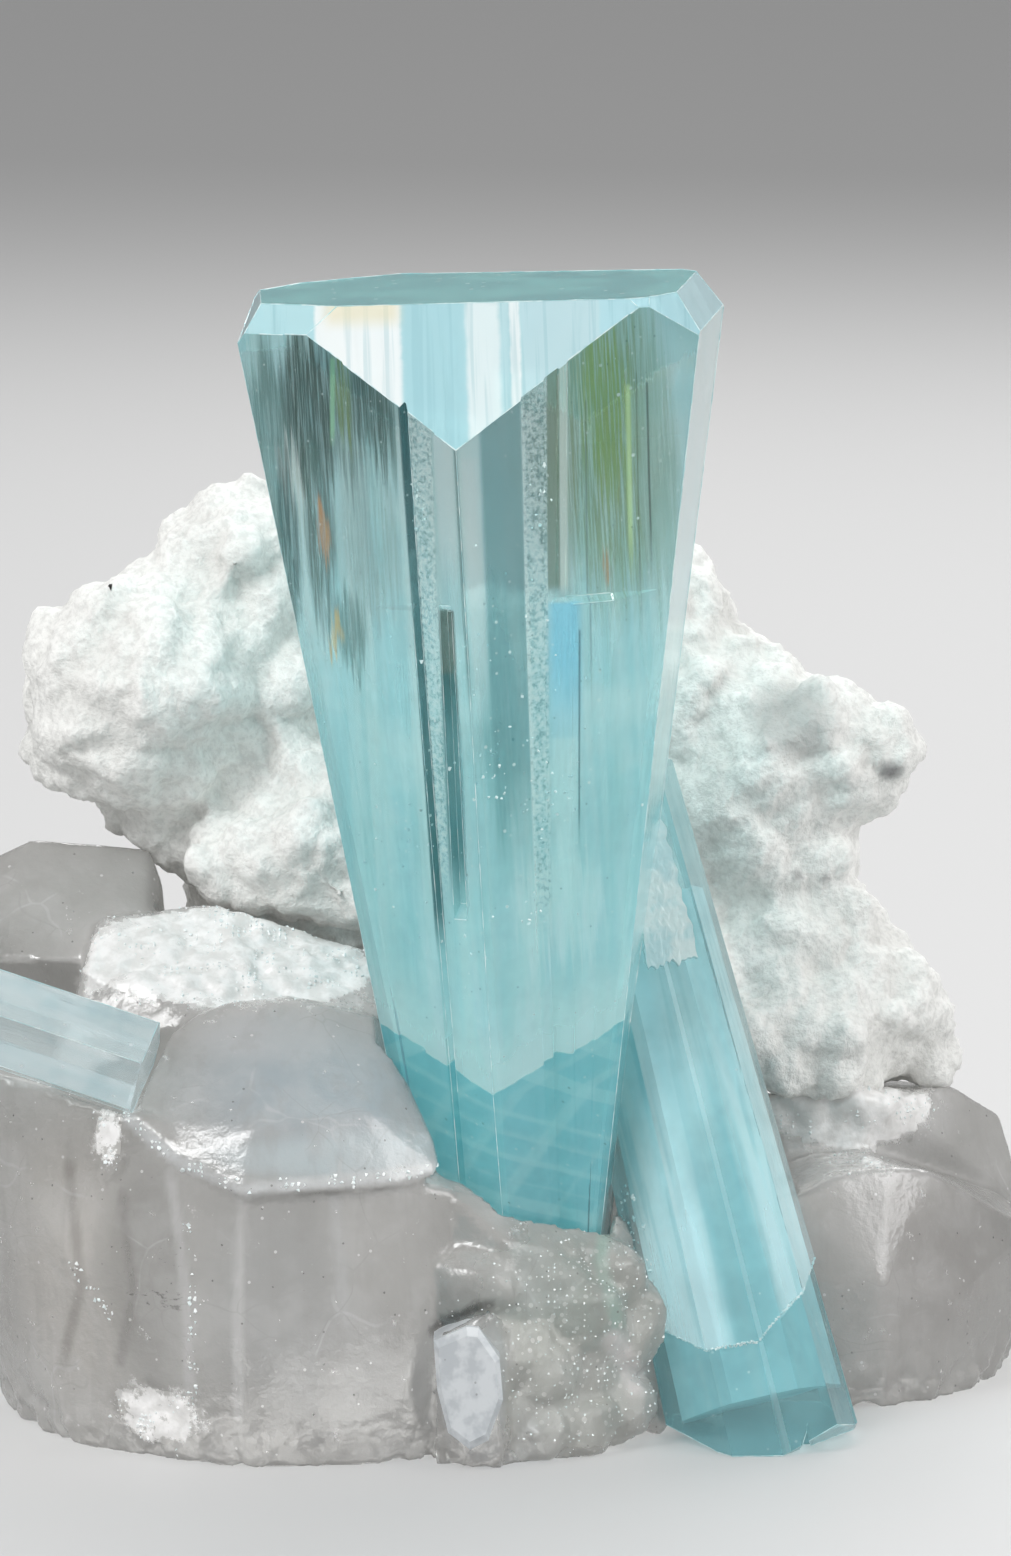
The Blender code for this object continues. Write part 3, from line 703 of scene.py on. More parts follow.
def small_finish():
    """The lying crystal: pale, milky, with white streaks."""
    made, net, shader = new_material("aquamarine_pale")
    place = net.stored("place")
    lines = net.group(STRIATIONS, Place=place, Spacing=1.1, Length=16.0)
    cloud = net.noise(place, 0.25, 3.0, 0.6)
    net.body = net.mix(net.times(lines["Shade"], 0.5), (212, 228, 231), (240, 245, 245))
    net.coat(net.ramp(cloud, 0.5, 0.7, 0.0, 0.4), (160, 196, 204))
    net.coat(net.flecks(place, 0.9, 0.14, 0.3), (246, 248, 248), 0.75)
    clear_beryl(net, shader, CLEARNESS, 0.12)
    net.bump(shader, lines["Height"], 0.12, 0.5)
    return made


def rim_finish(name="worn_edge", low=(176, 214, 218), high=(236, 246, 246), scale=0.7):
    """Worn crystal edges: pale and frosted."""
    made, net, shader = new_material(name)
    place = net.add("ShaderNodeTexCoord").outputs["Object"]
    worn = net.noise(place, scale / MM, 3.0, 0.6)
    net.body = net.mix(net.ramp(worn, 0.4, 0.6), low, high)
    clear_beryl(net, shader, 0.3, 0.25)
    return made


def milk_finish(name, clear_from, milky_from, low_colour, high_colour, cover):
    """Cloudy inside of a crystal: thins out with height and along streaks."""
    made, net, shader = new_material(name)
    place = net.stored("place")
    height = net.split(place)[2]
    streak = net.streaks(place, (0.42, 0.42, 0.022), 3.0, 0.6)
    cloud = net.noise(place, 0.12, 4.0, 0.6)
    edge = net.plus(height, net.times(net.minus(streak, 0.5), -46.0))
    thick = net.ramp(edge, clear_from, milky_from)
    patchy = net.ramp(cloud, 0.3, 0.62, 0.7, 1.0)
    net.feed(shader.inputs["Alpha"], net.times(net.times(thick, patchy), cover))
    net.body = net.mix(net.ramp(height, 40.0, 74.0), low_colour, high_colour)
    net.coat(net.ramp(streak, 0.45, 0.62, 0.0, 0.5), (214, 236, 238))
    net.paint(shader)
    shader.inputs["Roughness"].default_value = 0.6
    shader.inputs["Specular IOR Level"].default_value = 0.0
    return made


def milk_core(name, axes, levels, turn, finish):
    """A six-sided prism inside a crystal, through rings given as height and radius."""
    ways = [math.radians(turn + 60 * side) for side in range(6)]
    mesh = ringed(name, [[from_crystal(axes, radius * math.cos(way), radius * math.sin(way), height)
                          for way in ways] for height, radius in levels])
    store(mesh, place=crystal_places(points_of(mesh), axes))
    return add_piece(name, mesh, finish)


def milk_in_main():
    """A body of cloud inside the main crystal."""
    finish = milk_finish("milk_main", 86.0, 44.0, (186, 230, 228), (220, 240, 238), 0.75)
    levels = [(height, main_radius(height) - 1.5) for height in (15.5, 50.0, 84.0)]
    milk_core("milk_main", MAIN_AXES, levels, MAIN_TURN, finish)


def milk_in_lean():
    finish = milk_finish("milk_leaning", 200.0, 100.0, (196, 236, 242), (178, 226, 232), 0.9)
    levels = [(2.5, 5.6), (20.0, 5.4), (46.0, 4.4)]
    milk_core("milk_leaning", LEAN_AXES, levels, LEAN_TURN, finish)


# ---------------------------------------------------------------- aquamarine pieces
HEAD, LEANING, BASAL, STEP = range(1, 5)      # finishes of the crystal pair after the sides'


def main_places(mesh, places):
    """Store each corner's place on its face: the pattern stays with the face it belongs to."""
    radius = main_radius(places[:, 2])
    layer = mesh.attributes.new("growth", "FLOAT_VECTOR", "CORNER")
    values = np.zeros((len(mesh.loops), 3), dtype=np.float32)
    for face in mesh.polygons:
        corners = [mesh.loops[i].vertex_index for i in face.loop_indices]
        middle = places[corners].mean(axis=0)
        bearing = (math.degrees(math.atan2(middle[1], middle[0])) - MAIN_TURN) % 360
        side = int(bearing // 60)
        way = math.radians(MAIN_TURN + 60 * side + 120)
        edges_before = side if side < 3 else side - 6
        for index, corner in zip(face.loop_indices, corners):
            across, back, height = places[corner]
            run = across * math.cos(way) + back * math.sin(way) + radius[corner] / 2
            values[index] = (run + edges_before * radius[corner], side * 3.0, height)
    layer.data.foreach_set("vector", values.ravel())


def outside_main(place):
    """Whether a place lies outside the main crystal's six sides."""
    ways = [math.radians(MAIN_TURN + 60 * side + 30) for side in range(6)]
    reach = max(place[0] * math.cos(way) + place[1] * math.sin(way) for way in ways)
    return reach > main_radius(place[2]) * math.cos(math.radians(30)) + 0.4


def dress_pair():
    """The main and the leaning crystal, with their own finish on each one's faces."""
    mesh = node_copy("aquamarine_pair")
    points = points_of(mesh)
    in_main = crystal_places(points, MAIN_AXES)
    in_lean = crystal_places(points, LEAN_AXES)
    for finish in (main_side_finish(), main_top_finish(), lean_finish("aquamarine_leaning", 0.09),
                   main_basal_finish(), lean_finish("aquamarine_growth_step", 0.55)):
        mesh.materials.append(finish)
    leaning = np.zeros(len(mesh.vertices), dtype=bool)
    for face in mesh.polygons:
        corners = list(face.vertices)
        middle, spots = in_main[corners].mean(axis=0), in_lean[corners]
        if outside_main(middle) or (middle[2] < 12.0 and spots.mean(axis=0)[2] < 20.0):
            width = np.ptp(np.degrees(np.arctan2(spots[:, 1], spots[:, 0])))
            step = width < 8.0 and np.ptp(spots[:, 2]) > 4.0
            face.material_index = STEP if step else LEANING
            leaning[corners] = True
        elif middle[2] > HEAD_FROM and face.normal.z > 0.3:
            face.material_index = BASAL if face.normal.z > 0.98 else HEAD
    seam = seam_height(np.degrees(np.arctan2(in_lean[:, 1], in_lean[:, 0])) % 360)
    store(mesh, place=np.where(leaning[:, None], in_lean, in_main),
          under_seam=np.where(in_lean[:, 2] < seam, 1.0, 0.0))
    main_places(mesh, in_main)
    piece = add_piece("aquamarine_crystals", mesh)
    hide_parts("aquamarine_pair")
    return piece


def dress_small():
    mesh = node_copy("aquamarine_left")
    store(mesh, place=crystal_places(points_of(mesh), SMALL_AXES))
    piece = add_piece("lying_crystal", mesh, small_finish())
    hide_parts("aquamarine_left")
    return piece


def broad_edges(bm):
    """Sharp edges between broad faces; the narrow walls of growth steps don't count."""
    bmesh.ops.dissolve_limit(bm, angle_limit=math.radians(1.0), verts=bm.verts[:],
                              edges=bm.edges[:])
    for edge in bm.edges:
        if len(edge.link_faces) != 2 or edge.calc_face_angle(0.0) < math.radians(20.0):
            continue
        widths = [face.calc_area() / max(side.calc_length() for side in face.edges)
                  for face in edge.link_faces]
        if min(widths) > 0.6 * MM and edge.calc_length() > 0.6 * MM:
            yield edge


def edge_rims(name, source, finish, radius, seed):
    """Worn rim along a crystal's edges: short pale rods that swell and thin out."""
    chance = random.Random(seed)
    lean_way = LEAN_WAY.normalized()
    bm = bmesh.new()
    bm.from_mesh(source.data)
    rods = bmesh.new()
    for edge in broad_edges(bm):
        start, end = edge.verts[0].co, edge.verts[1].co
        along = abs((end - start).normalized().dot(lean_way)) > 0.95
        if along and all(face.material_index in (LEANING, STEP) for face in edge.link_faces):
            continue
        on_top = any(face.normal.z > 0.3 for face in edge.link_faces)
        thick = radius if on_top else radius * 0.6
        count = max(1, round((end - start).length / (1.1 * MM)))
        sizes = [thick * MM * chance.uniform(0.35, 1.0) for _ in range(count + 1)]
        turn = (end - start).to_track_quat("Z", "Y").to_matrix().to_4x4()
        for step in range(count):
            low = start.lerp(end, step / count)
            high = start.lerp(end, (step + 1) / count)
            bmesh.ops.create_cone(rods, cap_ends=True, segments=5, radius1=sizes[step],
                                  radius2=sizes[step + 1], depth=(high - low).length,
                                  matrix=Matrix.Translation((low + high) / 2) @ turn)
    bm.free()
    return add_piece(name, to_mesh(rods, name), finish)


def spark_finish():
    """Bright broken grains that catch the light."""
    made, net, shader = new_material("bright_grains")
    place = net.add("ShaderNodeTexCoord").outputs["Object"]
    shade = net.noise(place, 1.5 / MM, 2.0, 0.5)
    net.body = net.mix(net.ramp(shade, 0.4, 0.6), (226, 236, 236), (252, 254, 254))
    net.paint(shader)
    shader.inputs["Roughness"].default_value = 0.2
    return made


def on_lean(across, back, height, proud):
    """A point on the leaning crystal's skin, its place across given in radii."""
    radius = LEAN_RADIUS - LEAN_TAPER * height + proud
    return from_crystal(LEAN_AXES, across * radius, back * radius, height)


def chipped_edge(finish):
    """White chips down the left edge of the leaning crystal."""
    chance = random.Random(21)
    spots = []
    for _ in range(70):
        height = chance.triangular(11.0, 23.0, 18.0)
        slide = chance.triangular(0.0, 0.5, 0.0)
        spots.append(on_lean(-1.0 + 0.64 * slide, -0.24 - 0.69 * slide, height,
                             chance.uniform(-0.1, 0.06)))
    crumbs("edge_chips", spots, (0.15, 0.6), finish, 22)


PLATE_FROM = 39.6      # along the leaning crystal
PLATE_LENGTH = 13.0


def overgrowth(finish):
    """Rough pale plate on the leaning crystal, where it leaves the main one."""
    bm = bmesh.new()
    columns, rows = 26, 64
    grid = []
    for row in range(rows):
        line = []
        for column in range(columns):
            share, rise = column / (columns - 1), row / (rows - 1)
            ragged = noise.noise(Vector((share * 9.0, 3.1, 0.0))) * 0.9
            side = noise.noise(Vector((rise * 12.0, 8.7, 0.0))) * 0.05
            lump = noise.noise(Vector((share * 14.0, rise * 30.0, 1.7)))
            height = PLATE_FROM + ragged * (1 - rise) + PLATE_LENGTH * rise
            line.append(bm.verts.new(on_lean(0.02 + 0.6 * share + side, -0.89 + 0.17 * share,
                                             height, 0.26 + 0.05 * lump)))
        grid.append(line)
    for low, high in zip(grid, grid[1:]):
        for i in range(columns - 1):
            bm.faces.new((low[i], low[i + 1], high[i + 1], high[i]))
    plate = add_piece("overgrowth", to_mesh(bm, "overgrowth"), finish)
    body = plate.modifiers.new("body", "SOLIDIFY")
    body.thickness = 0.7 * MM
    body.offset = -1.0
    return settle(plate)


def seam_line(source, finish):
    """Chipped pale lip where the overgrowth of the leaning crystal ends, round its front."""
    chance = random.Random(51)
    spots = []
    for step in range(420):
        bearing = 170.0 + 200.0 * step / 419
        height = float(seam_height(bearing)) - 0.05 + chance.uniform(-0.08, 0.08)
        out = np.array((math.cos(math.radians(bearing)), math.sin(math.radians(bearing)), 0.0))
        start = from_crystal(LEAN_AXES, *(out[:2] * 20.0), height)
        hit, spot, _, _ = source.ray_cast(start, Vector(-(out @ LEAN_AXES[1])).normalized())
        if hit and chance.random() < 0.9:
            spots.append(spot)
    crumbs("seam_lip", spots, (0.12, 0.34), finish, 52)


def inclusion_flecks(finish):
    """Bright flecks just under the front faces of the main crystal, in loose clusters."""
    chance = random.Random(31)
    front = math.radians(MAIN_TURN)
    spots = []
    for across, height, spread, count in FLECK_CLUSTERS:
        for _ in range(count):
            run = across + chance.gauss(0, spread)
            rise = height + chance.gauss(0, spread * 2.2)
            radius = main_radius(rise)
            next_edge = math.radians(MAIN_TURN + (60 if run > 0 else -60))
            share = min(abs(run) / radius, 0.97)
            out = radius - chance.uniform(-0.05, 0.5)
            spots.append(from_crystal(
                MAIN_AXES, out * ((1 - share) * math.cos(front) + share * math.cos(next_edge)),
                out * ((1 - share) * math.sin(front) + share * math.sin(next_edge)), rise))
    crumbs("inclusion_flecks", spots, (0.1, 0.42), finish, 32)


FLECK_CLUSTERS = (
    # distance from the front edge, height, spread, count
    (1.6, 58.0, 0.8, 26), (5.6, 54.5, 0.9, 18), (8.6, 55.0, 0.7, 16), (4.3, 45.0, 0.6, 16),
    (-7.0, 50.0, 1.2, 22), (-13.0, 55.0, 2.0, 14), (3.0, 63.0, 3.5, 30), (-4.0, 60.0, 3.0, 20),
    (10.0, 60.0, 3.0, 18), (-4.5, 80.0, 0.5, 12), (-2.5, 42.0, 1.8, 12), (7.0, 80.0, 0.8, 14),
)


# ---------------------------------------------------------------- quartz
def white_crust(net, place):
    """Lays the white cleaved crust over the quartz colour and gives its share."""
    ragged = net.noise(place, 0.55, 5.0, 0.7)
    level = net.plus(net.stored("frost", "Fac"), net.times(net.minus(ragged, 0.5), 2.0))
    share = net.ramp(level, 0.28, 0.5)
    lumps = net.noise(place, 0.7, 3.0, 0.6)
    white = net.mix(net.ramp(lumps, 0.38, 0.62), (232, 231, 229), (252, 251, 250))
    net.coat(share, white)
    return share


def quartz_finish(name, clearness):
    """Grey translucent quartz: tinted blocks with a painted highlight along one ridge, streaks,
    hairline cracks, specks, druse, crust.
    """
    made, net, shader = new_material(name)
    place = net.stored("place")
    druse = net.stored("druse", "Fac")
    smoke = net.noise(place, 0.11, 4.0, 0.6)
    streak = net.streaks(place, (0.5, 0.4, 0.06), 3.0, 0.6)
    net.body = net.stored("tint")
    net.coat(net.ramp(smoke, 0.46, 0.64, 0.0, 0.25), (230, 230, 229))
    net.coat(net.ramp(smoke, 0.46, 0.34, 0.0, 0.3), (164, 163, 160))
    net.coat(net.ramp(streak, 0.5, 0.66, 0.0, 0.2), (172, 169, 166))
    bent = net.add("ShaderNodeVectorMath", {0: net.add("ShaderNodeTexNoise", {
        "Vector": place, "Scale": 0.12, "Detail": 2.0}).outputs["Color"], 1: (6.0, 6.0, 6.0)},
        operation="MULTIPLY_ADD")
    net.feed(bent.inputs[2], place)
    for size, colour, amount in ((0.07, (238, 240, 240), 0.22), (0.13, (146, 144, 142), 0.16)):
        cracks = net.add("ShaderNodeTexVoronoi", {"Vector": bent.outputs[0], "Scale": size},
                         feature="DISTANCE_TO_EDGE")
        thin = net.ramp(cracks.outputs["Distance"], 0.012, 0.003)
        broken = net.times(thin, net.ramp(smoke, 0.5, 0.6))
        net.coat(broken, colour, amount)
    net.coat(net.flecks(place, 1.2, 0.12, 0.16), (98, 96, 94), 0.6)
    net.coat(net.flecks(place, 0.9, 0.12, 0.2), (250, 250, 248), 0.7)
    marks = net.streaks(place, (0.35, 0.5, 0.9), 5.0, 0.75)
    dark = net.times(net.stored("marked", "Fac"), net.ramp(marks, 0.63, 0.67))
    net.coat(dark, (84, 82, 80), 0.75)
    grain = net.flecks(place, 1.1, 0.24, 0.5)
    net.coat(net.times(grain, net.times(druse, 0.7)), (238, 238, 234))
    crusted = white_crust(net, place)
    net.paint(shader)
    shader.inputs["Transmission Weight"].default_value = clearness
    dull = net.plus(net.times(druse, 0.3), net.times(crusted, 0.2))
    net.feed(shader.inputs["Roughness"], net.plus(dull, net.ramp(smoke, 0.4, 0.6, 0.12, 0.24)))
    shader.inputs["IOR"].default_value = QUARTZ_IOR
    pass_light(net, shader, (0.9, 0.9, 0.9, 1.0))
    net.bump(shader, net.noise(place, 0.9, 4.0, 0.6), 0.25, 0.4)
    return made


def front_depth(piece, x, z):
    """How far forward a piece's front lies at a place given as x and z, in millimetres."""
    start = mm(x, -60.0, z)
    hit, spot, _, _ = piece.ray_cast(start, Vector((0.0, 1.0, 0.0)))
    return spot.y / MM + GROUND_CENTRE[1] if hit else -12.0


def tooth_crystal(piece):
    """Small clear crystal with broken faces that stands in front of the base."""
    outline = np.array(TOOTH_OUTLINE)
    middle = outline.mean(axis=0)
    depths = [front_depth(piece, x, z) for x, z in outline]
    slope = np.linalg.lstsq(np.c_[outline, np.ones(len(outline))], depths, rcond=None)[0]

    def drawn_in(share):
        return middle + (outline - middle) * share

    bulge = max(slope @ (x, z, 1.0) - front_depth(piece, x, z)
                for share in (0.0, 0.4, 0.7, 1.0) for x, z in drawn_in(share))
    mesh = ringed("tooth_crystal", [
        [mm(x, slope @ (x, z, 1.0) - proud, z) for x, z in drawn_in(share)]
        for share, proud in ((1.0, -2.5), (1.0, bulge), (0.86, bulge + 0.5))])
    store(mesh, place=points_of(mesh))
    return add_piece("tooth_crystal", mesh, tooth_finish())


TOOTH_OUTLINE = ((-5.9, 10.5), (-3.2, 11.9), (-2.2, 11.9), (-0.5, 9.6), (-0.2, 6.2), (-1.4, 2.8),
                 (-2.9, 1.9), (-4.7, 3.1), (-5.6, 6.5))


def tooth_finish():
    """Bluish clear quartz."""
    made, net, shader = new_material("quartz_bluish")
    place = net.stored("place")
    cloud = net.noise(place, 0.5, 3.0, 0.6)
    net.body = net.mix(net.ramp(cloud, 0.4, 0.6), (190, 195, 199), (214, 218, 221))
    net.coat(net.flecks(place, 1.2, 0.12, 0.2), (120, 120, 120), 0.5)
    net.paint(shader)
    shader.inputs["Transmission Weight"].default_value = 0.15
    shader.inputs["Roughness"].default_value = 0.3
    shader.inputs["IOR"].default_value = QUARTZ_IOR
    pass_light(net, shader, (0.92, 0.94, 0.96, 1.0))
    return made


def grains_on(mesh, weight, count, seed):
    """Spots spread over the faces where the weight is high, in metres."""
    chance = np.random.default_rng(seed)
    faces = np.array([face.center for face in mesh.polygons])
    share = np.array([weight[list(face.vertices)].mean() * face.area for face in mesh.polygons])
    picked = chance.choice(len(faces), size=count, p=share / share.sum())
    return [Vector(faces[i]) for i in picked]


def laid_over(tint, share, colour):
    """Blend a screen colour into the points' colours by each point's share."""
    return tint + share[:, None] * (np.array(tone(*colour)[:3]) - tint)


def dress_quartz():
    piece = add_piece("quartz_base", node_copy("quartz_cluster"))
    reskin(piece, QUARTZ_GRAIN)
    points = points_of(piece.data)
    crust = np.max([amount * patch(points, centre, reach) for centre, reach, amount in CRUSTS],
                   axis=0)
    druse = patch(points, (5.0, -14.0, 9.0), (13.0, 12.0, 13.0))
    weigh(piece, "crust", crust)
    weigh(piece, "rough_druse", druse)
    weigh(piece, "foot", np.clip((5.0 - points[:, 2]) / 3.0, 0.0, 1.0))
    roughen(piece, QUARTZ_RELIEF)
    mesh = piece.data
    for point in mesh.vertices:
        point.co.z = max(point.co.z, 0.0)
    mesh.materials.clear()
    mesh.materials.append(quartz_finish("quartz_clear", 0.6))
    mesh.materials.append(quartz_finish("quartz_crusted", 0.1))
    tint = np.tile(np.array(tone(*QUARTZ_GREY)[:3]), (len(points), 1))
    for centre, reach, colour, amount in QUARTZ_TINTS:
        tint = laid_over(tint, amount * patch(points, centre, reach), colour)
    for line, width, colour, amount in QUARTZ_STROKES_AND_HIGHLIGHT:
        tint = laid_over(tint, amount * stroke(points, line, width), colour)
    store(mesh, place=points, tint=tint, druse=druse, frost=crust,
          marked=patch(points, (-29.5, -18.0, 15.0), (6.0, 6.0, 6.0)))
    smooth_faces(mesh)
    for face in mesh.polygons:
        if crust[list(face.vertices)].mean() > 0.42:
            face.material_index = 1
    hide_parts("quartz_cluster")
    clumps = np.array([noise.noise(Vector(point) * 0.55) for point in points])
    ridge = np.max([stroke(points, line, 0.5) for line in SPARKLING_LINES], axis=0)
    sparks = spark_finish()
    for name, weight, count, sizes, seed in (
            ("crust_grains", np.clip(crust - 0.1, 0, 1) * np.clip(clumps + 0.05, 0, 1) ** 1.5,
             900, (0.1, 0.42), 41),
            ("ridge_grains", ridge * np.clip(clumps + 0.3, 0, 1), 260, (0.12, 0.5), 45),
            ("druse_grains", np.clip(druse - 0.1, 0, 1), 900, (0.1, 0.3), 43)):
        crumbs(name, grains_on(mesh, weight, count, seed), sizes, sparks, seed + 1)
    tooth_crystal(piece)


CRUSTS = (
    ((-22.0, -1.0, 40.0), (20.0, 12.0, 7.0), 1.0),  # snowy ridge behind the bluish crystal
    ((-33.0, -17.0, 27.0), (2.8, 4.0, 4.6), 0.6),  # cleaved corner under the lying crystal
    ((-29.5, -18.0, 3.6), (7.5, 5.0, 3.8), 0.62),  # crumbly foot at the left
    ((31.0, 8.0, 24.0), (15.0, 18.0, 5.5), 1.0),  # ledge under the albite at the right
)
SPARKLING_LINES = (
    ((-33.5, 28.0), (-32.0, 24.5)),
    ((-31.0, 28.2), (-26.7, 25.1), (-21.5, 23.2), (-15.4, 23.6), (-5.9, 23.9)),
    ((-26.3, 20.0), (-25.5, 13.0), (-25.9, 9.4), (-25.6, 5.0)),
    ((-35.6, 15.5), (-34.0, 13.8), (-32.6, 12.0)),
)
QUARTZ_RELIEF = (
    # kind of texture, size, strength, where
    ("CLOUDS", 5.0, 0.16, ""), ("CLOUDS", 2.6, 1.6, "foot"), ("CLOUDS", 3.4, 2.2, "crust"),
    ("CLOUDS", 1.2, 1.0, "crust"), ("VORONOI", 1.6, -0.4, "rough_druse"),
)
QUARTZ_GREY = (190, 189, 186)
QUARTZ_TINTS = (
    # centre, reach, colour, amount
    ((-36.0, -16.0, 14.0), (8.0, 14.0, 17.0), (212, 208, 202), 0.8),
    ((-30.0, -18.0, 16.0), (5.0, 8.0, 12.0), (150, 149, 145), 0.7),
    ((-19.0, -18.0, 14.0), (8.0, 10.0, 13.0), (176, 177, 176), 0.7),
    ((-14.0, -18.0, 8.0), (7.0, 10.0, 8.0), (176, 177, 176), 0.5),
    ((-16.0, -12.0, 29.0), (15.0, 12.0, 9.0), (178, 192, 200), 0.9),
    ((-14.0, -16.0, 25.5), (14.0, 12.0, 2.6), (212, 228, 233), 0.8),
    ((-20.0, -9.0, 34.0), (8.0, 8.0, 3.0), (214, 216, 218), 0.6),
    ((-40.0, -2.0, 45.0), (11.0, 18.0, 10.0), (188, 189, 185), 0.85),
    ((-38.0, -2.0, 52.0), (10.0, 18.0, 5.0), (222, 222, 219), 0.9),
    ((5.0, -14.0, 9.0), (13.0, 12.0, 13.0), (186, 190, 182), 0.85),
    ((33.0, -4.0, 13.0), (17.0, 20.0, 17.0), (196, 193, 190), 0.85),
    ((38.0, 4.0, 12.0), (8.0, 20.0, 9.0), (174, 171, 168), 0.7),
    ((-22.0, -1.0, 40.0), (22.0, 13.0, 7.5), (250, 248, 247), 1.0),
    ((31.0, 8.0, 24.0), (19.0, 20.0, 7.0), (240, 239, 238), 0.9),
)
QUARTZ_STROKES_AND_HIGHLIGHT = (
    # line on the front as (x, z), width, colour, amount
    (((8.3, 17.5), (7.8, 15.7), (8.6, 13.6), (9.3, 10.9)), 0.8, (190, 218, 206), 0.7),
    (((8.8, 9.6), (10.1, 7.3), (10.8, 5.3)), 1.2, (246, 240, 238), 0.9),
    (((-6.0, 10.6), (-4.5, 11.8), (-2.5, 12.9), (-1.3, 13.1)), 0.55, (96, 94, 90), 0.9),
    # painted highlight along the ridge where the bluish block meets the front block
    (((-31.0, 28.2), (-26.7, 25.1), (-21.5, 23.2), (-15.4, 23.6), (-5.9, 23.9)), 0.7,
     (244, 248, 250), 0.8),
    (((-21.6, 22.8), (-21.9, 13.0), (-22.0, 4.5)), 0.6, (222, 222, 221), 0.7),
    (((-27.5, 24.0), (-26.2, 14.0), (-26.0, 6.0)), 0.6, (226, 226, 226), 0.5),
    (((-14.0, 22.0), (-13.2, 12.0)), 0.7, (206, 208, 208), 0.5),
    (((-38.0, 16.0), (-34.0, 12.0), (-33.0, 4.0)), 0.5, (206, 204, 200), 0.5),
    (((-31.5, 22.0), (-30.6, 14.0), (-31.8, 8.0)), 0.6, (140, 137, 134), 0.6),
    (((-36.0, 24.0), (-35.0, 14.0), (-37.0, 6.0)), 0.6, (150, 144, 138), 0.6),
)


# ---------------------------------------------------------------- albite
def albite_finish():
    """White sugary feldspar: painted shade in the hollows and pits, a painted bluish shadow and a
    painted shade under a knob.
    """
    made, net, shader = new_material("albite_sugar")
    place = net.stored("place")
    hollow = net.stored("hollow", "Fac")
    grain = net.noise(place, 1.6, 4.0, 0.65)
    patchy = net.noise(place, 0.12, 3.0, 0.55)
    net.body = net.mix(net.ramp(grain, 0.35, 0.6), (226, 226, 223), (246, 246, 243))
    net.coat(net.ramp(patchy, 0.54, 0.7, 0.0, 0.2), (226, 229, 226))
    # painted shade in the hollows
    net.coat(hollow, (204, 204, 200), 0.32)
    # painted shade under an overhanging knob
    net.coat(net.stored("shaded", "Fac"), (178, 176, 174))
    # painted bluish shadow
    net.coat(net.stored("lavender", "Fac"), (196, 204, 216))
    # painted shade in the pits
    net.coat(net.stored("pit", "Fac"), (112, 110, 112))
    net.paint(shader)
    shader.inputs["Roughness"].default_value = 0.7
    net.bump(shader, grain, 0.35, 0.8)
    return made


def dress_albite():
    piece = add_piece("albite_mass", node_copy("albite_matrix"))
    reskin(piece, ALBITE_GRAIN)
    base, facing = points_of(piece.data), vectors_of(piece.data, "normal")
    plain_skin = [vertex.co.copy() for vertex in piece.data.vertices]
    roughen(piece, ALBITE_RELIEF)
    mesh = piece.data
    mesh.materials.clear()
    mesh.materials.append(albite_finish())
    pits = [patch(base, place, reach) for place, reach in ALBITE_PIT_SHADES]
    # painted shade: dark spots in the pits, shade under an overhanging knob, and a bluish shadow
    store(mesh, place=base, pit=0.8 * np.max(pits, axis=0),
          shaded=0.75 * patch(base, (24.3, 18.0, 56.5), (5.0, 12.0, 4.5)),
          lavender=0.6 * patch(base, (20.5, 6.0, 37.0), (4.0, 12.0, 5.5)))
    agreement = np.einsum("ij,ij->i", vectors_of(mesh, "normal"), facing)
    for i in np.nonzero(agreement < 0.1)[0]:      # folds in the relief go back to the plain skin
        mesh.vertices[int(i)].co = plain_skin[int(i)]
    mesh.update()
    sunk = -np.einsum("ij,ij->i", points_of(mesh) - base, vectors_of(mesh, "normal"))
    # painted shade: greyer where the relief sinks in
    store(mesh, hollow=np.clip((sunk + 0.1) / 0.6, 0.0, 1.0))
    smooth_faces(mesh)
    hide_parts("albite_matrix")


ALBITE_RELIEF = (
    ("CLOUDS", 8.0, 2.2, ""), ("VORONOI", 4.6, -1.9, ""), ("CLOUDS", 2.4, 1.2, ""),
    ("VORONOI", 1.2, -0.38, ""), ("CLOUDS", 0.7, 0.3, ""),
)
# painted shade: dark spots where pits go into the albite
ALBITE_PIT_SHADES = (
    ((32.9, 20.0, 52.0), (1.3, 8.0, 1.3)),
    ((25.0, 14.0, 43.0), (0.8, 9.0, 0.7)),
    ((27.4, 14.0, 42.6), (0.6, 9.0, 0.6)),
)


# ---------------------------------------------------------------- studio
def floor_finish():
    made, _, shader = new_material("studio_floor")
    shader.inputs["Base Color"].default_value = tone(198, 198, 198)
    shader.inputs["Roughness"].default_value = 0.6
    return made


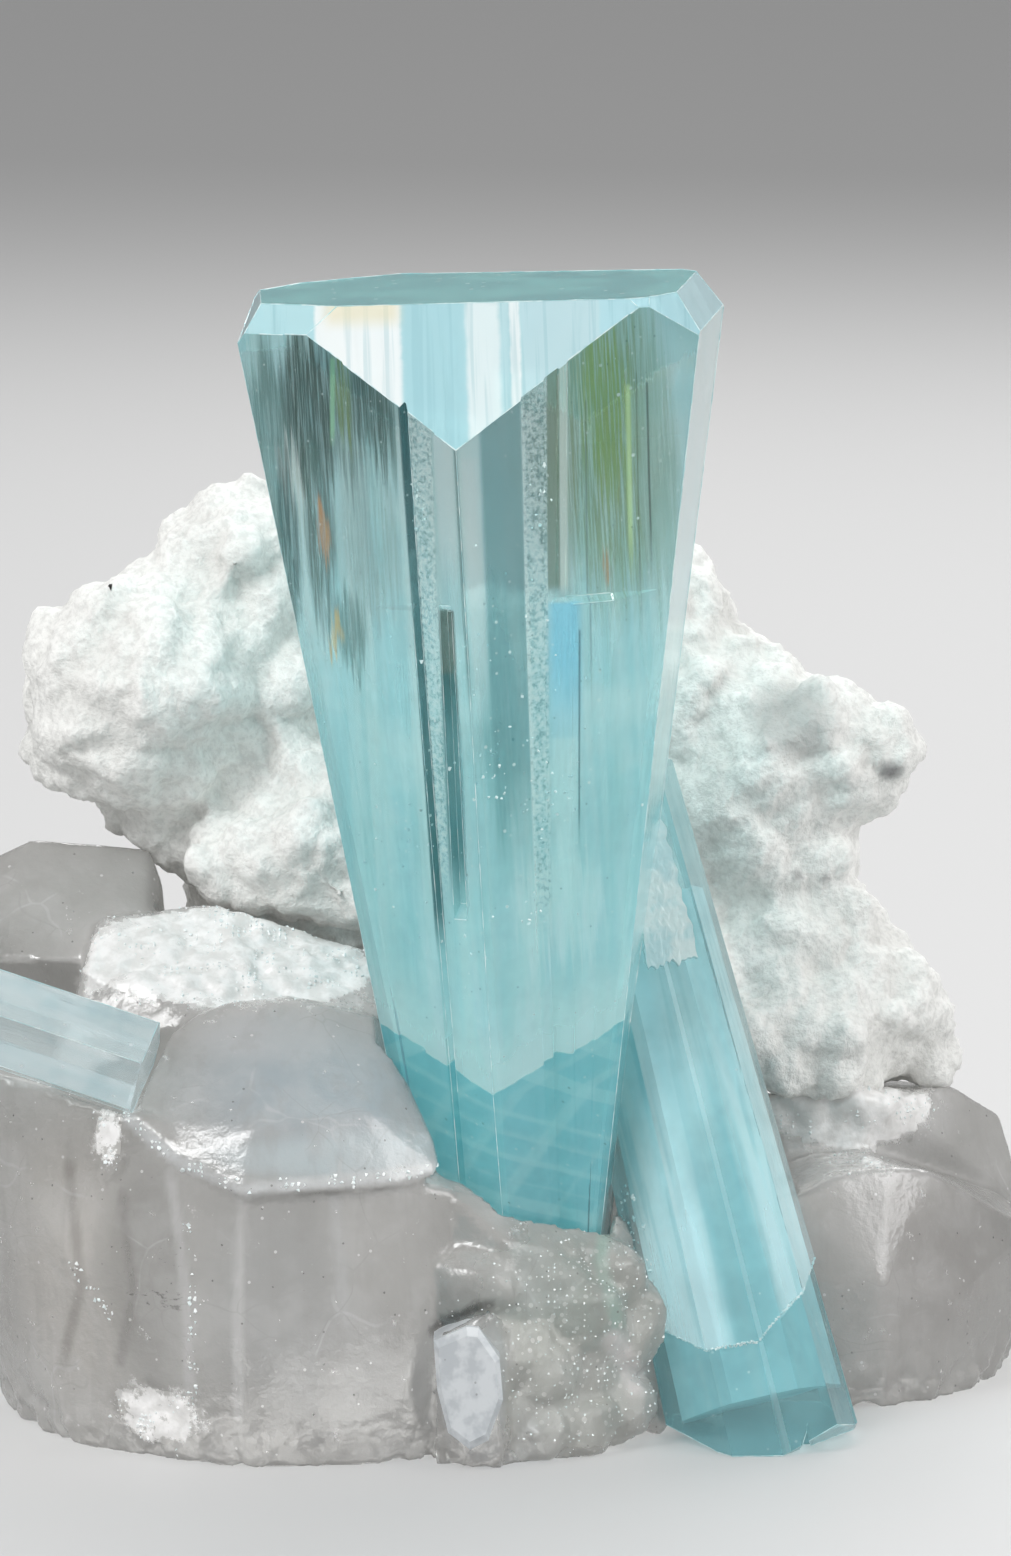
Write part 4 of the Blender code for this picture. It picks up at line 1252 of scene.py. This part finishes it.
def build_floor():
    bm = bmesh.new()
    bmesh.ops.create_grid(bm, x_segments=1, y_segments=1, size=6.0)
    mesh = to_mesh(bm, "floor")
    mesh.materials.append(floor_finish())
    placed("floor", mesh)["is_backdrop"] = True


def soft_light(name, place, target, size, power):
    light = bpy.data.lights.new(name, "AREA")
    light.shape = "SQUARE"
    light.size = size
    light.energy = power
    lamp = placed(name, light)
    lamp.location = place
    way = Vector(target) - Vector(place)
    lamp.rotation_euler = way.to_track_quat("-Z", "Y").to_euler()


LAMPS = (
    # name, place, size, power
    ("key", (-0.5, -0.55, 0.78), 0.4, 7.0),
    ("fill", (0.8, -0.25, 0.55), 0.5, 4.2),
    ("back", (0.15, 0.7, 0.62), 0.6, 4.0),
)
LIT_SPOT = (0.0, 0.0, 0.05)
WORLD_LIGHT = 0.42


def build_studio():
    build_floor()
    for name, place, size, power in LAMPS:
        soft_light(name, place, LIT_SPOT, size, power)
    world = bpy.data.worlds.new("studio")
    bpy.context.scene.world = world
    world.use_nodes = True
    sky = world.node_tree.nodes["Background"]
    sky.inputs["Color"].default_value = (1.0, 1.0, 1.0, 1.0)
    sky.inputs["Strength"].default_value = WORLD_LIGHT
    bpy.context.scene.view_settings.view_transform = "Standard"


def build_camera():
    tilt = math.radians(CAMERA_ELEVATION)
    camera = bpy.data.cameras.new("camera")
    focal_pixels = CAMERA_DISTANCE / MM_PER_PIXEL
    camera.sensor_width = SENSOR
    camera.lens = SENSOR * focal_pixels / FRAME_HEIGHT
    camera.clip_start = 0.01
    view = placed("camera", camera)
    view.location = mm(0.0, -CAMERA_DISTANCE * math.cos(tilt),
                       CAMERA_TARGET_HEIGHT + CAMERA_DISTANCE * math.sin(tilt))
    view.rotation_euler = (math.radians(90.0) - tilt, 0.0, 0.0)
    bpy.context.scene.camera = view


# ---------------------------------------------------------------- assembly
build_camera()
build_studio()
pair = dress_pair()
lying = dress_small()
rim = rim_finish()
edge_rims("crystal_edges", pair, rim, RIM_RADIUS, 1)
edge_rims("lying_crystal_edges", lying, rim, RIM_RADIUS * 0.7, 2)
milk_in_main()
milk_in_lean()
inclusion_flecks(rim)
chipped_edge(rim)
overgrowth(rim_finish("overgrowth_skin", (204, 230, 233), (232, 243, 242), 0.35))
seam_line(pair, rim)
dress_quartz()
dress_albite()

boxes = {"cad": CAD_BOX, "visual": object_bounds()}
{key: [list(corner) for corner in box] for key, box in boxes.items()}
